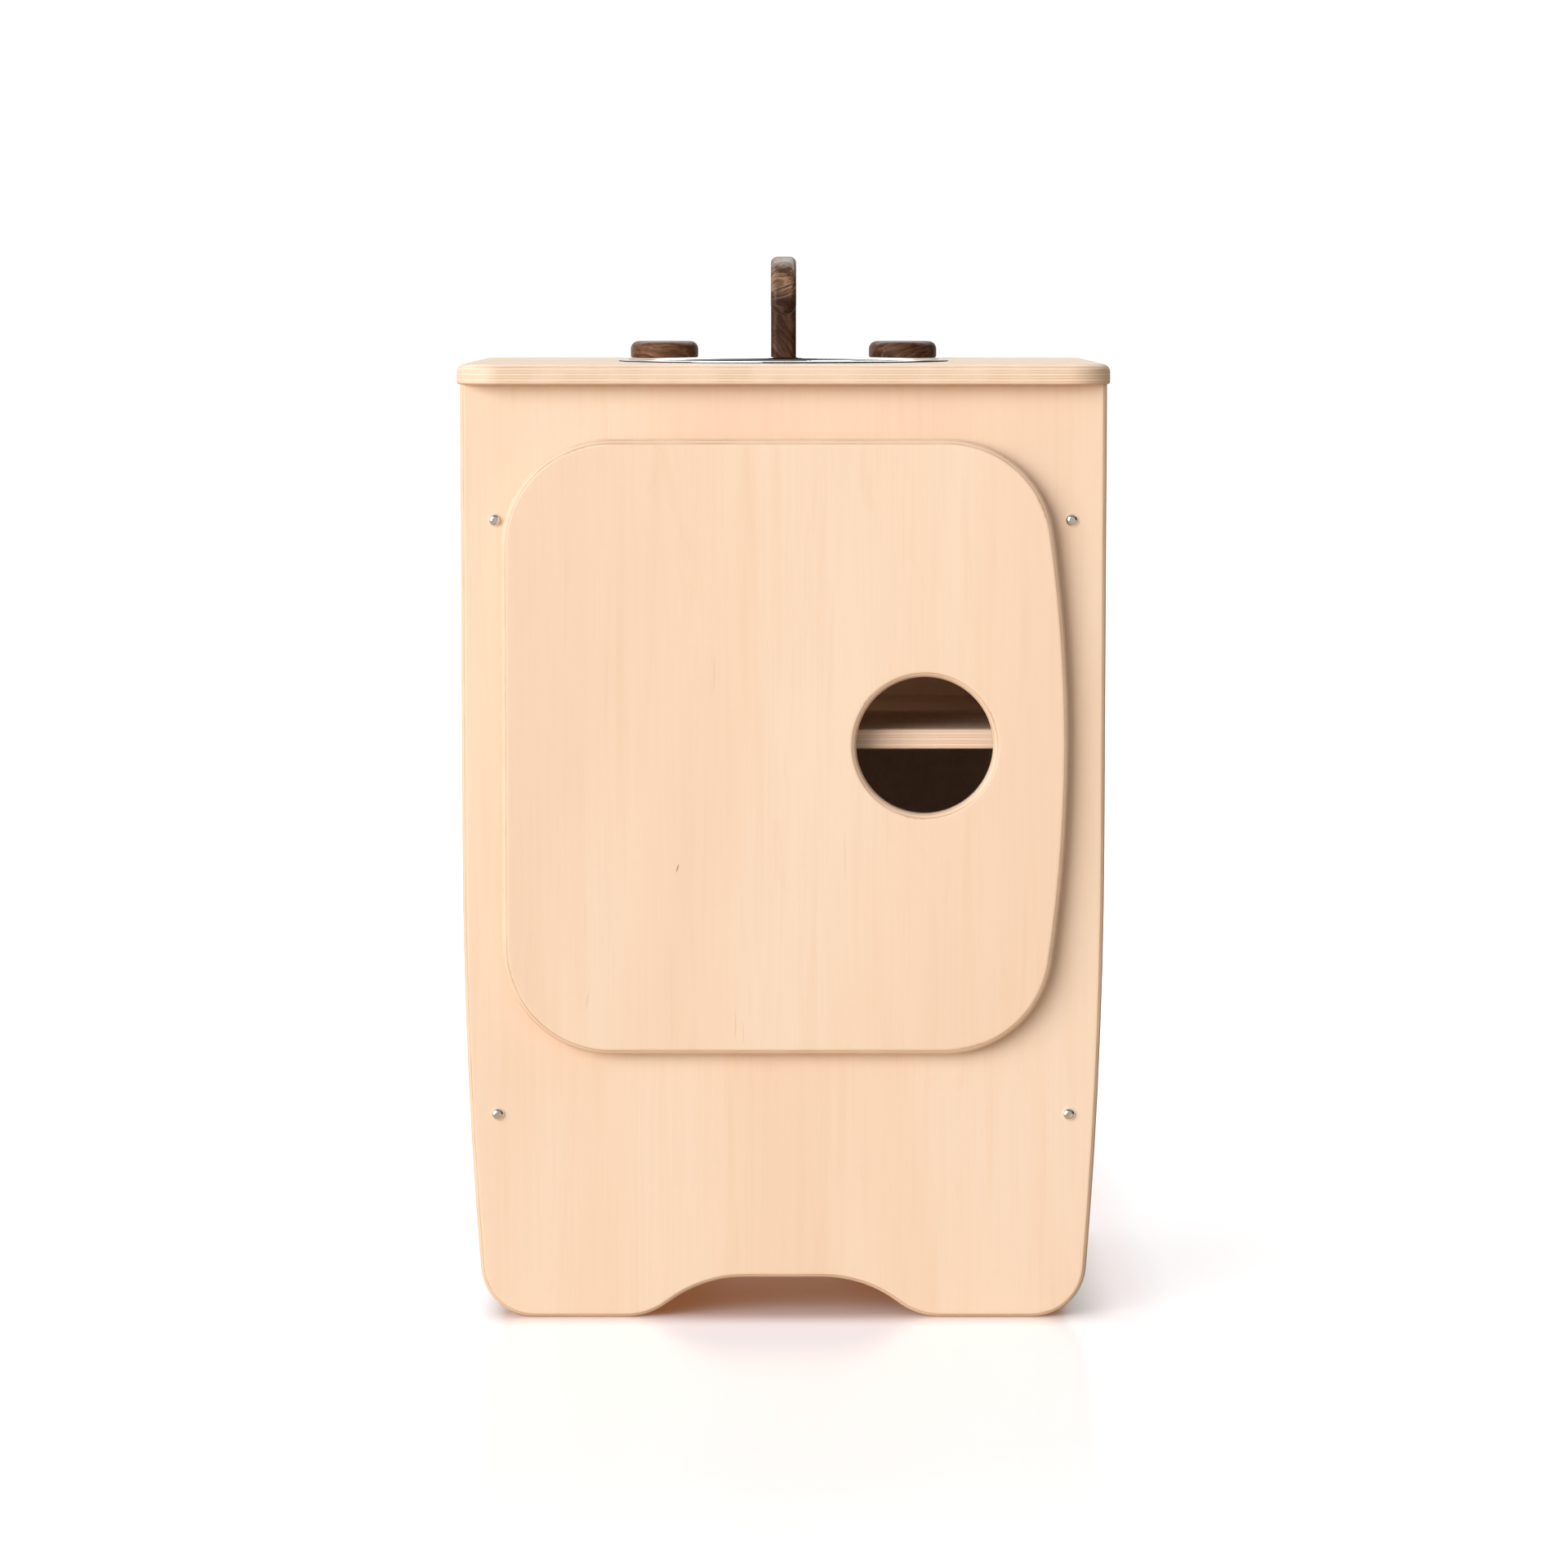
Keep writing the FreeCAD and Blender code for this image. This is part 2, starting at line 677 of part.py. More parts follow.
def make_barrel_nuts(label, sign):
    """The four cross-drilled nuts in one side panel."""
    outwards = TOWARDS_LEFT if sign == "0 -" else TOWARDS_RIGHT
    nuts = []
    for level in ("bolt_low", "bolt_top"):
        for end, y in zip(("front", "back"), BARREL_Y):
            name = f"{label}_{end}_{level}"
            blank = cylinder(f"{name}_blank", "barrel_dia / 2", "barrel_long",
                             (f"{sign} ( {SIDE_INNER} + barrel_sunk )", y, level), outwards)
            thread = cylinder(f"{name}_thread", "bolt_dia / 2 + fit_gap", "barrel_dia * 2",
                              (f"{sign} side_middle", f"{y} - barrel_dia", level), TOWARDS_BACK)
            nuts.append(cut(name, blank, thread))
    sub_part(group(label, nuts), label)


def make_row_of_rods(label, radius, long, inset, level):
    """Four pins or dowels that cross from the side panels into the cabinet."""
    rods = []
    for side, sign, turn in (("left", "0 -", TOWARDS_RIGHT), ("right", "0 +", TOWARDS_LEFT)):
        for end, y in zip(("front", "back"), PIN_Y):
            rods.append(cylinder(f"{label}_{side}_{end}", radius, long,
                                 (f"{sign} ( {SIDE_INNER} + {inset} )", y, level), turn))
    sub_part(group(label, rods), label)


def make_cleat_screws():
    """Screws through the cleats, four into the sides and four up into the counter."""
    sideways = []
    upwards = []
    for number, (sign, y) in enumerate(cleat_screw_places("cleat_long * 2 / 5")):
        outwards = TOWARDS_LEFT if sign == "0 -" else TOWARDS_RIGHT
        place = (f"{sign} ( {SIDE_INNER} - cleat )", y, "counter_under - cleat / 2")
        sideways.append(screw(f"side_screw_{number}", place, outwards, CLEAT_SCREW))
    for number, (sign, y) in enumerate(cleat_screw_places("cleat_long / 5")):
        place = (f"{sign} ( {SIDE_INNER} - cleat / 2 )", y, "counter_under - cleat")
        upwards.append(screw(f"counter_screw_{number}", place, None, CLEAT_SCREW))
    sub_part(group("cleat_side_screws", sideways), "cleat_side_screws")
    sub_part(group("cleat_counter_screws", upwards), "cleat_counter_screws")


# ---------------------------------------------------------------- door, hinges and catch

def door_corners():
    """Door outline: a straight hinge side, round corners and a slightly bowed free side."""
    low = "( door_middle - door_high / 2 )"
    top = "( door_middle + door_high / 2 )"
    rise = "( door_high / 2 - door_corner )"
    bow_x = "( door_right - door_bow )"
    turn_x = f"( {bow_x} + sqrt(( door_bow - door_corner ) ^ 2 - {rise} ^ 2 ) )"
    reach = "( door_bow / ( door_bow - door_corner ) )"
    edge_x = f"( {bow_x} + ( {turn_x} - {bow_x} ) * {reach} )"
    edge_rise = f"( {rise} * {reach} )"
    corner = ("door_corner", "left")
    return [
        ("door_corner - door_left", low, None),
        (turn_x, low, corner),
        (edge_x, f"door_middle - {edge_rise}", ("door_bow", "left")),
        (edge_x, f"door_middle + {edge_rise}", corner),
        (turn_x, top, None),
        ("door_corner - door_left", top, corner),
        ("0 - door_left", f"{top} - door_corner", None),
        ("0 - door_left", f"{low} + door_corner", corner),
    ]


def make_door():
    """Door with a finger hole, hinge slots and pin holes at its left edge, and a strike seat."""
    body = doc.addObject("PartDesign::Body", "door")
    sketch = new_sketch(body, "door_outline", "XZ_Plane")
    outline(sketch, door_corners())
    circle(sketch, "finger_x", "door_middle + finger_up", "finger_radius")
    board = pad(body, "door_board", sketch, "ply")
    own_front = 0 - size("ply")
    hole_wide = 2 * size("finger_radius")
    front = fillet(body, "door_front_edges", board, "door_front_round",
                   lambda edge: lies_at(edge, "y", own_front))
    hole = fillet(body, "door_hole_back_edge", front, "edge_round",
                  lambda edge: lies_at(edge, "y", 0) and abs(edge.BoundBox.XLength - hole_wide) < 0.1)
    fillet(body, "door_back_edges", hole, "door_back_round",
           lambda edge: lies_at(edge, "y", 0) and on_door_outline(edge))
    for name, side in (("lower", "-"), ("upper", "+")):
        middle = f"door_middle {side} hinge_spread"
        slot = new_sketch(body, f"{name}_slot_outline", "XY_Plane", f"{middle} - hinge_slot / 2")
        rectangle(slot, "0 - door_left - 1", "0 - door_back_round - hinge_ear / 2 - hinge_slot_front",
                  "hinge_inset - door_left + hinge_ear / 2 + hinge_slot_side", "1")
        pocket(body, f"{name}_hinge_slot", slot, "hinge_slot", reverse=True)
        bore = new_sketch(body, f"{name}_pin_hole_outline", "XY_Plane", f"{middle} - hinge_pin_long / 2")
        circle(bore, "hinge_inset - door_left", "0 - door_back_round", "hinge_pin_dia / 2")
        pocket(body, f"{name}_pin_hole", bore, "hinge_pin_long", reverse=True)
    seat = new_sketch(body, "door_strike_seat", "XZ_Plane")
    circle(seat, "catch_x", "door_middle", "catch_dia / 2")
    pocket(body, "strike_seat", seat, "strike_thick", reverse=True)
    sub_part(body, "door", y=DOOR_BACK)


def on_door_outline(edge):
    """Whether an edge belongs to the door's outline, not to its finger hole."""
    edge_box = edge.BoundBox
    offset_x = max(abs(edge_box.XMin - size("finger_x")), abs(edge_box.XMax - size("finger_x")))
    middle_z = size("door_middle + finger_up")
    offset_z = max(abs(edge_box.ZMin - middle_z), abs(edge_box.ZMax - middle_z))
    inside = size("finger_radius + door_front_round + 1")
    return offset_x > inside or offset_z > inside


def make_hinge(name, side):
    """A bracket let into the front panel, whose ear enters the door, and its pin."""
    middle = f"door_middle {side} hinge_spread"
    label = f"{name}_hinge_bracket"
    plate = box(f"{label}_plate", "hinge_plate_wide", "hinge_plate", "hinge_plate_high",
                (HINGE_PLATE_LEFT, FRONT_FACE, f"{middle} - hinge_plate_high / 2"))
    ear_low = f"{middle} - hinge_ear_thick / 2"
    ear = box(f"{label}_ear", "hinge_ear", "door_gap + door_back_round + hinge_plate", "hinge_ear_thick",
              (f"{HINGE_X} - hinge_ear / 2", HINGE_Y, ear_low))
    eye = cylinder(f"{label}_eye", "hinge_ear / 2", "hinge_ear_thick", (HINGE_X, HINGE_Y, ear_low))
    tools = [cylinder(f"{label}_bore", "hinge_pin_dia / 2 + hinge_play", "hinge_ear_thick * 2",
                      (HINGE_X, HINGE_Y, f"{middle} - hinge_ear_thick"))]
    for number, (x, z) in enumerate(hinge_screw_places()):
        place = (x, FRONT_FACE, z)
        tools.append(screw(f"{label}_hole_{number}", place, TOWARDS_BACK, HINGE_SCREW, "fit_gap"))
    blank = fuse(f"{label}_blank", [plate, ear, eye])
    sub_part(cut(label, blank, fuse(f"{label}_tools", tools)), label)
    pin = cylinder(f"{name}_hinge_pin", "hinge_pin_dia / 2", "hinge_pin_long - 4 * fit_gap")
    sub_part(pin, f"{name}_hinge_pin", HINGE_X, HINGE_Y, f"{middle} - hinge_pin_long / 2 + 2 * fit_gap")


def make_hinge_screws():
    """The screws of both hinge brackets."""
    screws = [screw(f"hinge_screw_{number}", (x, FRONT_FACE, z), TOWARDS_BACK, HINGE_SCREW)
              for number, (x, z) in enumerate(hinge_screw_places())]
    sub_part(group("hinge_screws", screws), "hinge_screws")


def make_catch():
    """Magnet in the panel's face and the steel strike disc in the door's back."""
    magnet = cylinder("catch_magnet", "catch_dia / 2 - fit_gap", "catch_thick - fit_gap")
    sub_part(magnet, "catch_magnet", "catch_x", FRONT_FACE, "door_middle", TOWARDS_BACK)
    strike = cylinder("strike_disc", "catch_dia / 2 - fit_gap", "strike_thick - fit_gap")
    sub_part(strike, "strike_disc", "catch_x", DOOR_BACK, "door_middle", TOWARDS_FRONT)


# ---------------------------------------------------------------- bowl, tap and knobs

def make_sink_bowl():
    """Spun steel bowl: a flat rim on the counter, a rounded lip, a steep wall and a flat bottom."""
    body = doc.addObject("PartDesign::Body", "sink_bowl")
    sketch = new_sketch(body, "bowl_profile", "XZ_Plane")
    wall_x = "( bowl_mouth - bowl_wall_radius )"
    lip_drop = "( bowl_lip_round - bowl_sheet )"
    low_z = "( bowl_deep - bowl_low_radius )"
    turn = f"( {low_z} - {lip_drop} )"
    low_x = f"( {wall_x} + sqrt(( bowl_wall_radius - bowl_low_radius ) ^ 2 - {turn} ^ 2 ) )"
    outlines = {}
    for skin, extra in (("inner", "0"), ("outer", "bowl_sheet")):
        reach = f"( ( bowl_wall_radius + {extra} ) / ( bowl_wall_radius - bowl_low_radius ) )"
        outlines[skin] = (f"{wall_x} + ( {low_x} - {wall_x} ) * {reach}",
                          f"0 - {lip_drop} - {turn} * {reach}")
    lip_x = "bowl_mouth + bowl_lip_round"
    edge_x = "bowl_radius - bowl_sheet / 2"
    outline(sketch, [
        ("0", "0 - bowl_deep - bowl_sheet", None),
        (low_x, "0 - bowl_deep - bowl_sheet", ("bowl_low_radius + bowl_sheet", "left")),
        (*outlines["outer"], ("bowl_wall_radius + bowl_sheet", "left")),
        ("bowl_mouth + bowl_sheet", f"0 - {lip_drop}", ("bowl_lip_round - bowl_sheet", "right")),
        (lip_x, "0", None),
        (edge_x, "0", ("bowl_sheet / 2", "left")),
        (edge_x, "bowl_sheet", None),
        (lip_x, "bowl_sheet", ("bowl_lip_round", "left")),
        ("bowl_mouth", f"0 - {lip_drop}", ("bowl_wall_radius", "right")),
        (*outlines["inner"], ("bowl_low_radius", "right")),
        (low_x, "0 - bowl_deep", None),
        ("0", "0 - bowl_deep", None),
    ])
    revolve(body, "bowl_shell", sketch)
    sub_part(body, "sink_bowl", y="bowl_y", z=COUNTER_TOP)


def make_tap():
    """Wooden tap: one board sawn as an upright that bends over and down to the spout's tip."""
    body = doc.addObject("PartDesign::Body", "tap")
    sketch = new_sketch(body, "tap_outline", "YZ_Plane", "0 - tap_wide / 2")
    outer = "( ( tap_reach + tap_arm ) / 2 )"
    inner = "( ( tap_reach - tap_arm ) / 2 )"
    bend_z = f"tap_high - turn_gap - {outer}"
    tip_z = f"{bend_z} - tap_drop"
    post_front = "0 - tap_arm / 2"
    tip_back = "tap_arm / 2 - tap_reach"
    tip_front = "0 - tap_arm / 2 - tap_reach"
    outline(sketch, [
        (post_front, "0", None),
        ("tap_arm / 2", "0", None),
        ("tap_arm / 2", bend_z, (outer, "left")),
        (tip_front, bend_z, None),
        (tip_front, tip_z, None),
        (tip_back, tip_z, None),
        (tip_back, bend_z, (inner, "right")),
        (post_front, bend_z, None),
    ])
    blank = pad(body, "tap_board", sketch, "tap_wide")
    tip = fillet(body, "tap_tip_corners", blank, "tap_tip_round",
                 lambda edge: on_tap_side(edge) and lies_at(edge, "z", size(tip_z)))
    corner_z = size(f"{tip_z} + tap_tip_round")

    def wanted(edge):
        on_end = lies_at(edge, "y", size(tip_front)) or lies_at(edge, "y", size(tip_back))
        around_end = on_end and edge.BoundBox.ZMax < corner_z + 1e-3
        smooth_or_foot = lies_at(edge, "z", corner_z) or lies_at(edge, "z", 0)
        return around_end or (on_tap_side(edge) and not smooth_or_foot)

    fillet(body, "tap_edges", tip, "tap_round", wanted)
    seat = new_sketch(body, "tap_insert_seat", "XY_Plane")
    circle(seat, "0", "0", "insert_dia / 2 + fit_gap")
    pocket(body, "tap_insert_hole", seat, "insert_long + knob_spare", reverse=True)
    sub_part(body, "tap", y="tap_y", z=f"{COUNTER_TOP} + turn_gap")


def on_tap_side(edge):
    """Whether an edge lies in one of the tap's two sawn faces."""
    half = size("tap_wide / 2")
    return lies_at(edge, "x", half) or lies_at(edge, "x", -half)


def make_knob(label, sign):
    """Round wooden knob with a well rounded upper edge."""
    body = doc.addObject("PartDesign::Body", label)
    sketch = new_sketch(body, f"{label}_outline", "XY_Plane")
    circle(sketch, "0", "0", "knob_dia / 2")
    blank = pad(body, f"{label}_blank", sketch, "knob_thick")
    upper = fillet(body, f"{label}_upper_edge", blank, "knob_round",
                   lambda edge: lies_at(edge, "z", size("knob_thick")))
    fillet(body, f"{label}_lower_edge", upper, "board_round", lambda edge: lies_at(edge, "z", 0))
    seat = new_sketch(body, f"{label}_insert_seat", "XY_Plane")
    circle(seat, "0", "0", "insert_dia / 2 + fit_gap")
    pocket(body, f"{label}_insert_hole", seat, "insert_long + knob_spare", reverse=True)
    sub_part(body, label, f"{sign} knob_x", "tap_y", f"{COUNTER_TOP} + turn_gap")


def make_turning_fixing(owner, x):
    """Threaded insert in the tap or a knob, and its washer and axle bolt under the counter."""
    insert_low = f"{COUNTER_TOP} + turn_gap"
    blank = cylinder(f"{owner}_insert_blank", "insert_dia / 2", "insert_long")
    thread = cylinder(f"{owner}_insert_thread", "axle_dia / 2 + fit_gap", "insert_long")
    sub_part(cut(f"{owner}_insert", blank, thread), f"{owner}_insert", x, "tap_y", insert_low)
    washer = cylinder(f"{owner}_washer_blank", "washer_dia / 2", "washer_thick")
    hole = cylinder(f"{owner}_washer_hole", "axle_dia / 2 + axle_play", "washer_thick")
    sub_part(cut(f"{owner}_washer", washer, hole), f"{owner}_washer", x, "tap_y",
             "counter_under - washer_thick")
    bolt = socket_bolt(f"{owner}_axle_bolt_body", "axle_dia", "axle_head", "axle_head_high",
                       "ply + washer_thick + insert_long")
    sub_part(bolt, f"{owner}_axle_bolt", x, "tap_y", "counter_under - washer_thick - head_gap")


# ---------------------------------------------------------------- build

FLOOR_LOW = "opening_low - 2 - ply"
PIN_LEVEL = "shelf_under - pin_dia / 2 - fit_gap"
PIN_Y = (f"{FRONT_FACE} + ply + pin_inset", f"{BACK_FACE} - ply - pin_inset")
BARREL_Y = (f"{FRONT_FACE} + ply + barrel_back", f"{BACK_FACE} - ply - barrel_back")
CLEAT_Y = "( ( front_overhang - back_overhang ) / 2 )"
CLEAT_SCREW = ("screw_dia", "screw_head", "screw_long")
HINGE_SCREW = ("hinge_screw_dia", "hinge_screw_head", "hinge_screw_long")
HINGE_PLATE_LEFT = "hinge_plate_inset - door_left"
TURNING_X = ("0 - knob_x", "0", "0 + knob_x")

make_front_panel()
make_back_panel()
make_side_panel("left_side_panel", "0 -")
make_side_panel("right_side_panel", "0 +")
make_counter_top()
make_shelf()
make_bottom_board()
make_cleat("left_counter_cleat", "0 -")
make_cleat("right_counter_cleat", "0 +")
make_cleat_screws()
make_panel_bolts("front_panel_bolts", FRONT_FACE, TOWARDS_BACK)
make_panel_bolts("back_panel_bolts", BACK_FACE, TOWARDS_FRONT)
make_barrel_nuts("left_barrel_nuts", "0 -")
make_barrel_nuts("right_barrel_nuts", "0 +")
make_row_of_rods("shelf_pins", "pin_dia / 2", "pin_long - fit_gap", "pin_long / 2 - fit_gap", PIN_LEVEL)
make_row_of_rods("bottom_board_dowels", "dowel_dia / 2", "dowel_long - fit_gap", "dowel_in_side - fit_gap",
                 f"{FLOOR_LOW} + ply / 2")
make_door()
make_hinge("lower", "-")
make_hinge("upper", "+")
make_hinge_screws()
make_catch()
make_sink_bowl()
make_tap()
make_knob("left_knob", "0 -")
make_knob("right_knob", "0 +")
for owner, x in zip(("left_knob", "tap", "right_knob"), TURNING_X):
    make_turning_fixing(owner, x)
doc.recompute()

for item in doc.Objects:
    if "Invalid" in item.State or "Error" in item.State:
        raise SystemExit(f"{item.Name} failed: {item.State}")
for item in SUB_PARTS:
    if item.Shape.isNull() or not item.Shape.isValid():
        raise SystemExit(f"{item.Label} has no valid shape")

os.makedirs("parts", exist_ok=True)
for item in SUB_PARTS:
    item.Shape.exportStep(f"parts/{item.Label}.step")
    print(f"{item.Label}: {len(item.Shape.Solids)} solid(s), {item.Shape.Volume / 1000:.1f} cm3")
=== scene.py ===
"""Looks of the toy play sink: pale lacquered plywood, dark walnut and polished steel.

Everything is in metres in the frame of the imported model: X to the right, Y to the back, Z up.
Every CAD node stays where it is and only gets a material. The rest is a staged studio.
"""
import math

import bpy
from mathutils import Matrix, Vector


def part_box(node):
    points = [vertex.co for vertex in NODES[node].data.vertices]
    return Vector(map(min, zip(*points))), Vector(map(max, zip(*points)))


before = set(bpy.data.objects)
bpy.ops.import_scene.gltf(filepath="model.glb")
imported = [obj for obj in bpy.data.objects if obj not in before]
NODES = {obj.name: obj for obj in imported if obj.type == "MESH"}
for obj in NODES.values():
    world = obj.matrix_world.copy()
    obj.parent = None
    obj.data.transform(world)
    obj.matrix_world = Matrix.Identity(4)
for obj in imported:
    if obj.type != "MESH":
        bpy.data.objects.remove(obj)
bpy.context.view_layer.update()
AXES = "xyz"
MM = 0.001


# ---------------------------------------------------------------- node shorthand

class Nodes:
    """Shorthand for building a node tree; an input is a socket to link or a plain value to set."""

    def __init__(self, tree):
        self.tree = tree

    def node(self, kind, **settings):
        """Add a node and set its own properties."""
        item = self.tree.nodes.new(kind)
        for name, value in settings.items():
            setattr(item, name, value)
        return item

    def join(self, source, target):
        """Link a socket, or set a plain value on it."""
        if isinstance(source, bpy.types.NodeSocket):
            self.tree.links.new(source, target)
        else:
            target.default_value = source

    def axis_values(self, vector):
        """The three parts of a vector by name."""
        split = self.node("ShaderNodeSeparateXYZ")
        self.join(vector, split.inputs[0])
        return {axis: split.outputs[index] for index, axis in enumerate(AXES)}

    def vector(self, x, y, z):
        """A vector from three values."""
        item = self.node("ShaderNodeCombineXYZ")
        for index, value in enumerate((x, y, z)):
            self.join(value, item.inputs[index])
        return item.outputs[0]

    def math(self, operation, *values):
        """One math node."""
        item = self.node("ShaderNodeMath", operation=operation)
        for index, value in enumerate(values):
            self.join(value, item.inputs[index])
        return item.outputs[0]

    def vector_math(self, operation, *values):
        """One vector math node; a plain tuple is a constant vector."""
        item = self.node("ShaderNodeVectorMath", operation=operation)
        for index, value in enumerate(values):
            self.join(value, item.inputs[index])
        return item.outputs["Value" if operation == "LENGTH" else 0]

    def tinted(self, tint, amount):
        """A constant colour times one value."""
        return self.vector_math("MULTIPLY", tint, self.vector(amount, amount, amount))

    def noise(self, vector, scale, detail=3.0, roughness=0.5, distortion=0.0, output="Fac"):
        """Fractal noise at a vector."""
        item = self.node("ShaderNodeTexNoise")
        self.join(vector, item.inputs["Vector"])
        item.inputs["Scale"].default_value = scale
        item.inputs["Detail"].default_value = detail
        item.inputs["Roughness"].default_value = roughness
        item.inputs["Distortion"].default_value = distortion
        return item.outputs[output]

    def remap(self, value, low, high, to_low=0.0, to_high=1.0):
        """Map a range to another one, smooth and clamped."""
        item = self.node("ShaderNodeMapRange", interpolation_type="SMOOTHSTEP")
        for index, part in enumerate((value, low, high, to_low, to_high)):
            self.join(part, item.inputs[index])
        return item.outputs[0]

    def mix(self, share, first, second):
        """Mix two colours."""
        item = self.node("ShaderNodeMix", data_type="RGBA")
        self.join(share, item.inputs[0])
        for colour, socket in ((first, item.inputs[6]), (second, item.inputs[7])):
            self.join(colour if isinstance(colour, bpy.types.NodeSocket) else (*colour, 1.0), socket)
        return item.outputs[2]

    def ramp(self, value, stops):
        """A colour ramp of (place, colour) stops."""
        item = self.node("ShaderNodeValToRGB")
        ramp = item.color_ramp
        while len(ramp.elements) < len(stops):
            ramp.elements.new(0.5)
        for element, (place, colour) in zip(ramp.elements, stops):
            element.position = place
            element.color = (*colour, 1.0)
        self.join(value, item.inputs[0])
        return item.outputs[0]

    def bump(self, height, strength, distance, normal=None):
        """A bump from a height, on top of an earlier one."""
        item = self.node("ShaderNodeBump")
        item.inputs["Strength"].default_value = strength
        item.inputs["Distance"].default_value = distance
        self.join(height, item.inputs["Height"])
        if normal is not None:
            self.join(normal, item.inputs["Normal"])
        return item.outputs[0]

    def split_by_camera(self, seen, unseen, output):
        """One shader for what the camera sees straight, another one for the light that bounces."""
        choose = self.node("ShaderNodeMixShader")
        self.join(self.node("ShaderNodeLightPath").outputs["Is Camera Ray"], choose.inputs[0])
        self.join(unseen, choose.inputs[1])
        self.join(seen, choose.inputs[2])
        self.join(choose.outputs[0], output)


class Shader(Nodes):
    """One procedural material."""

    def __init__(self, name):
        self.material = bpy.data.materials.new(name)
        self.material.use_nodes = True
        super().__init__(self.material.node_tree)
        self.bsdf = self.tree.nodes["Principled BSDF"]

    def object_position(self):
        """Position in the piece's own rest frame, so that the grain rides along."""
        return self.node("ShaderNodeTexCoord").outputs["Object"]

    def fibres(self, parts, grain, seed, across, along, step=0, detail=3, roughness=0.5, distortion=0.0):
        """Noise drawn out along the grain; across and along are its scales, step is its own seed."""
        values = []
        for index, axis in enumerate(AXES):
            scale = along if axis == grain else across
            shift = (seed + step) * (index + 1.7)
            values.append(self.math("MULTIPLY_ADD", parts[axis], float(scale), shift))
        return self.noise(self.vector(*values), 1, detail, roughness, distortion)

    def figure(self, parts, grain, seed, layers):
        """Several layers of fibres by name."""
        return {layer: self.fibres(parts, grain, seed, **settings) for layer, settings in layers.items()}

    def finish(self, **sockets):
        """Set or link sockets of the surface shader by name and return the material."""
        for name, value in sockets.items():
            self.join(value, self.bsdf.inputs[name.replace("_", " ").title().replace("Ior", "IOR")])
        return self.material


def scaled(values, factor):
    """A colour or a range times a factor."""
    return tuple(factor * value for value in values)


def centre_of(node):
    """Middle of a node's box at rest."""
    low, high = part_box(node)
    return (low + high) / 2


# ---------------------------------------------------------------- plywood

# face veneer, from its pinker parts to its palest
VENEER_PINK = (0.815, 0.598, 0.442)
VENEER = (0.825, 0.622, 0.458)
VENEER_PALE = (0.838, 0.648, 0.492)
VENEER_STREAK = (0.740, 0.500, 0.320)
MARK_BROWN = (0.40, 0.22, 0.11)
VENEER_THICK = 0.28 * MM

# broad drifts, soft streaks, flames and fine fibres of the veneer
VENEER_FIGURE = {
    "drift": dict(across=15, along=2.2, step=7, detail=2, distortion=0.5),
    "streaks": dict(across=85, along=4, detail=4, roughness=0.6, distortion=0.4),
    "flame": dict(across=30, along=7, step=11, detail=5, roughness=0.62, distortion=1.4),
    "fine": dict(across=620, along=14, step=3, detail=2),
}
DRIFT_STOPS = [(0.34, VENEER_PINK), (0.50, VENEER), (0.64, VENEER_PALE)]
# layer, where the streak colour begins, where it is full, its greatest share
STREAK_LAYERS = (("streaks", 0.48, 0.76, 0.25), ("flame", 0.60, 0.74, 0.22), ("fine", 0.40, 0.78, 0.12))

# plies that show along the edges, and the glue between them
PLY_COUNT = 7
PLY_ALONG = (0.860, 0.655, 0.500)
PLY_ACROSS = (0.800, 0.585, 0.425)
PLY_WANDER = 0.5 * MM
GLUE = (0.47, 0.275, 0.150)
GLUE_THICK = 0.16 * MM
GROOVE_DEEP = 0.12 * MM
FIBRE_DEEP = 0.05 * MM


def plywood(name, node, stack, grain, seed, marks=()):
    """Lacquered plywood: veneer with fibres on the faces, plies and glue lines on the edges."""
    low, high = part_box(node)
    index = AXES.index(stack)
    middle = (low[index] + high[index]) / 2
    half = (high[index] - low[index]) / 2
    shader = Shader(name)
    parts = shader.axis_values(shader.object_position())
    off_middle = shader.math("ABSOLUTE", shader.math("SUBTRACT", parts[stack], middle))
    deep = shader.math("SUBTRACT", half, off_middle)
    figure = shader.figure(parts, grain, seed, VENEER_FIGURE)

    face = shader.ramp(figure["drift"], DRIFT_STOPS)
    for layer, begins, full, share in STREAK_LAYERS:
        face = shader.mix(shader.remap(figure[layer], begins, full, 0.0, share), face, VENEER_STREAK)
    for mark in marks:
        face = add_mark(shader, face, parts, stack, grain, figure["fine"], *mark)

    edge, glue = plies(shader, deep, half)
    core = shader.remap(deep, 0.6 * VENEER_THICK, 1.1 * VENEER_THICK)
    off_first_glue = shader.math("ABSOLUTE", shader.math("SUBTRACT", deep, VENEER_THICK))
    first_glue = shader.remap(off_first_glue, 0.3 * GLUE_THICK, 1.1 * GLUE_THICK, 0.42, 0.0)
    colour = shader.mix(core, face, edge)
    colour = shader.mix(first_glue, colour, GLUE)

    groove = shader.math("MULTIPLY", shader.math("MULTIPLY", glue, core), -1.0)
    normal = shader.bump(groove, 0.20, GROOVE_DEEP)
    normal = shader.bump(figure["fine"], 0.08, FIBRE_DEEP, normal)
    gloss = shader.remap(figure["streaks"], 0.3, 0.8, 0.36, 0.46)
    return shader.finish(base_color=colour, roughness=gloss, normal=normal, specular_ior_level=0.40)


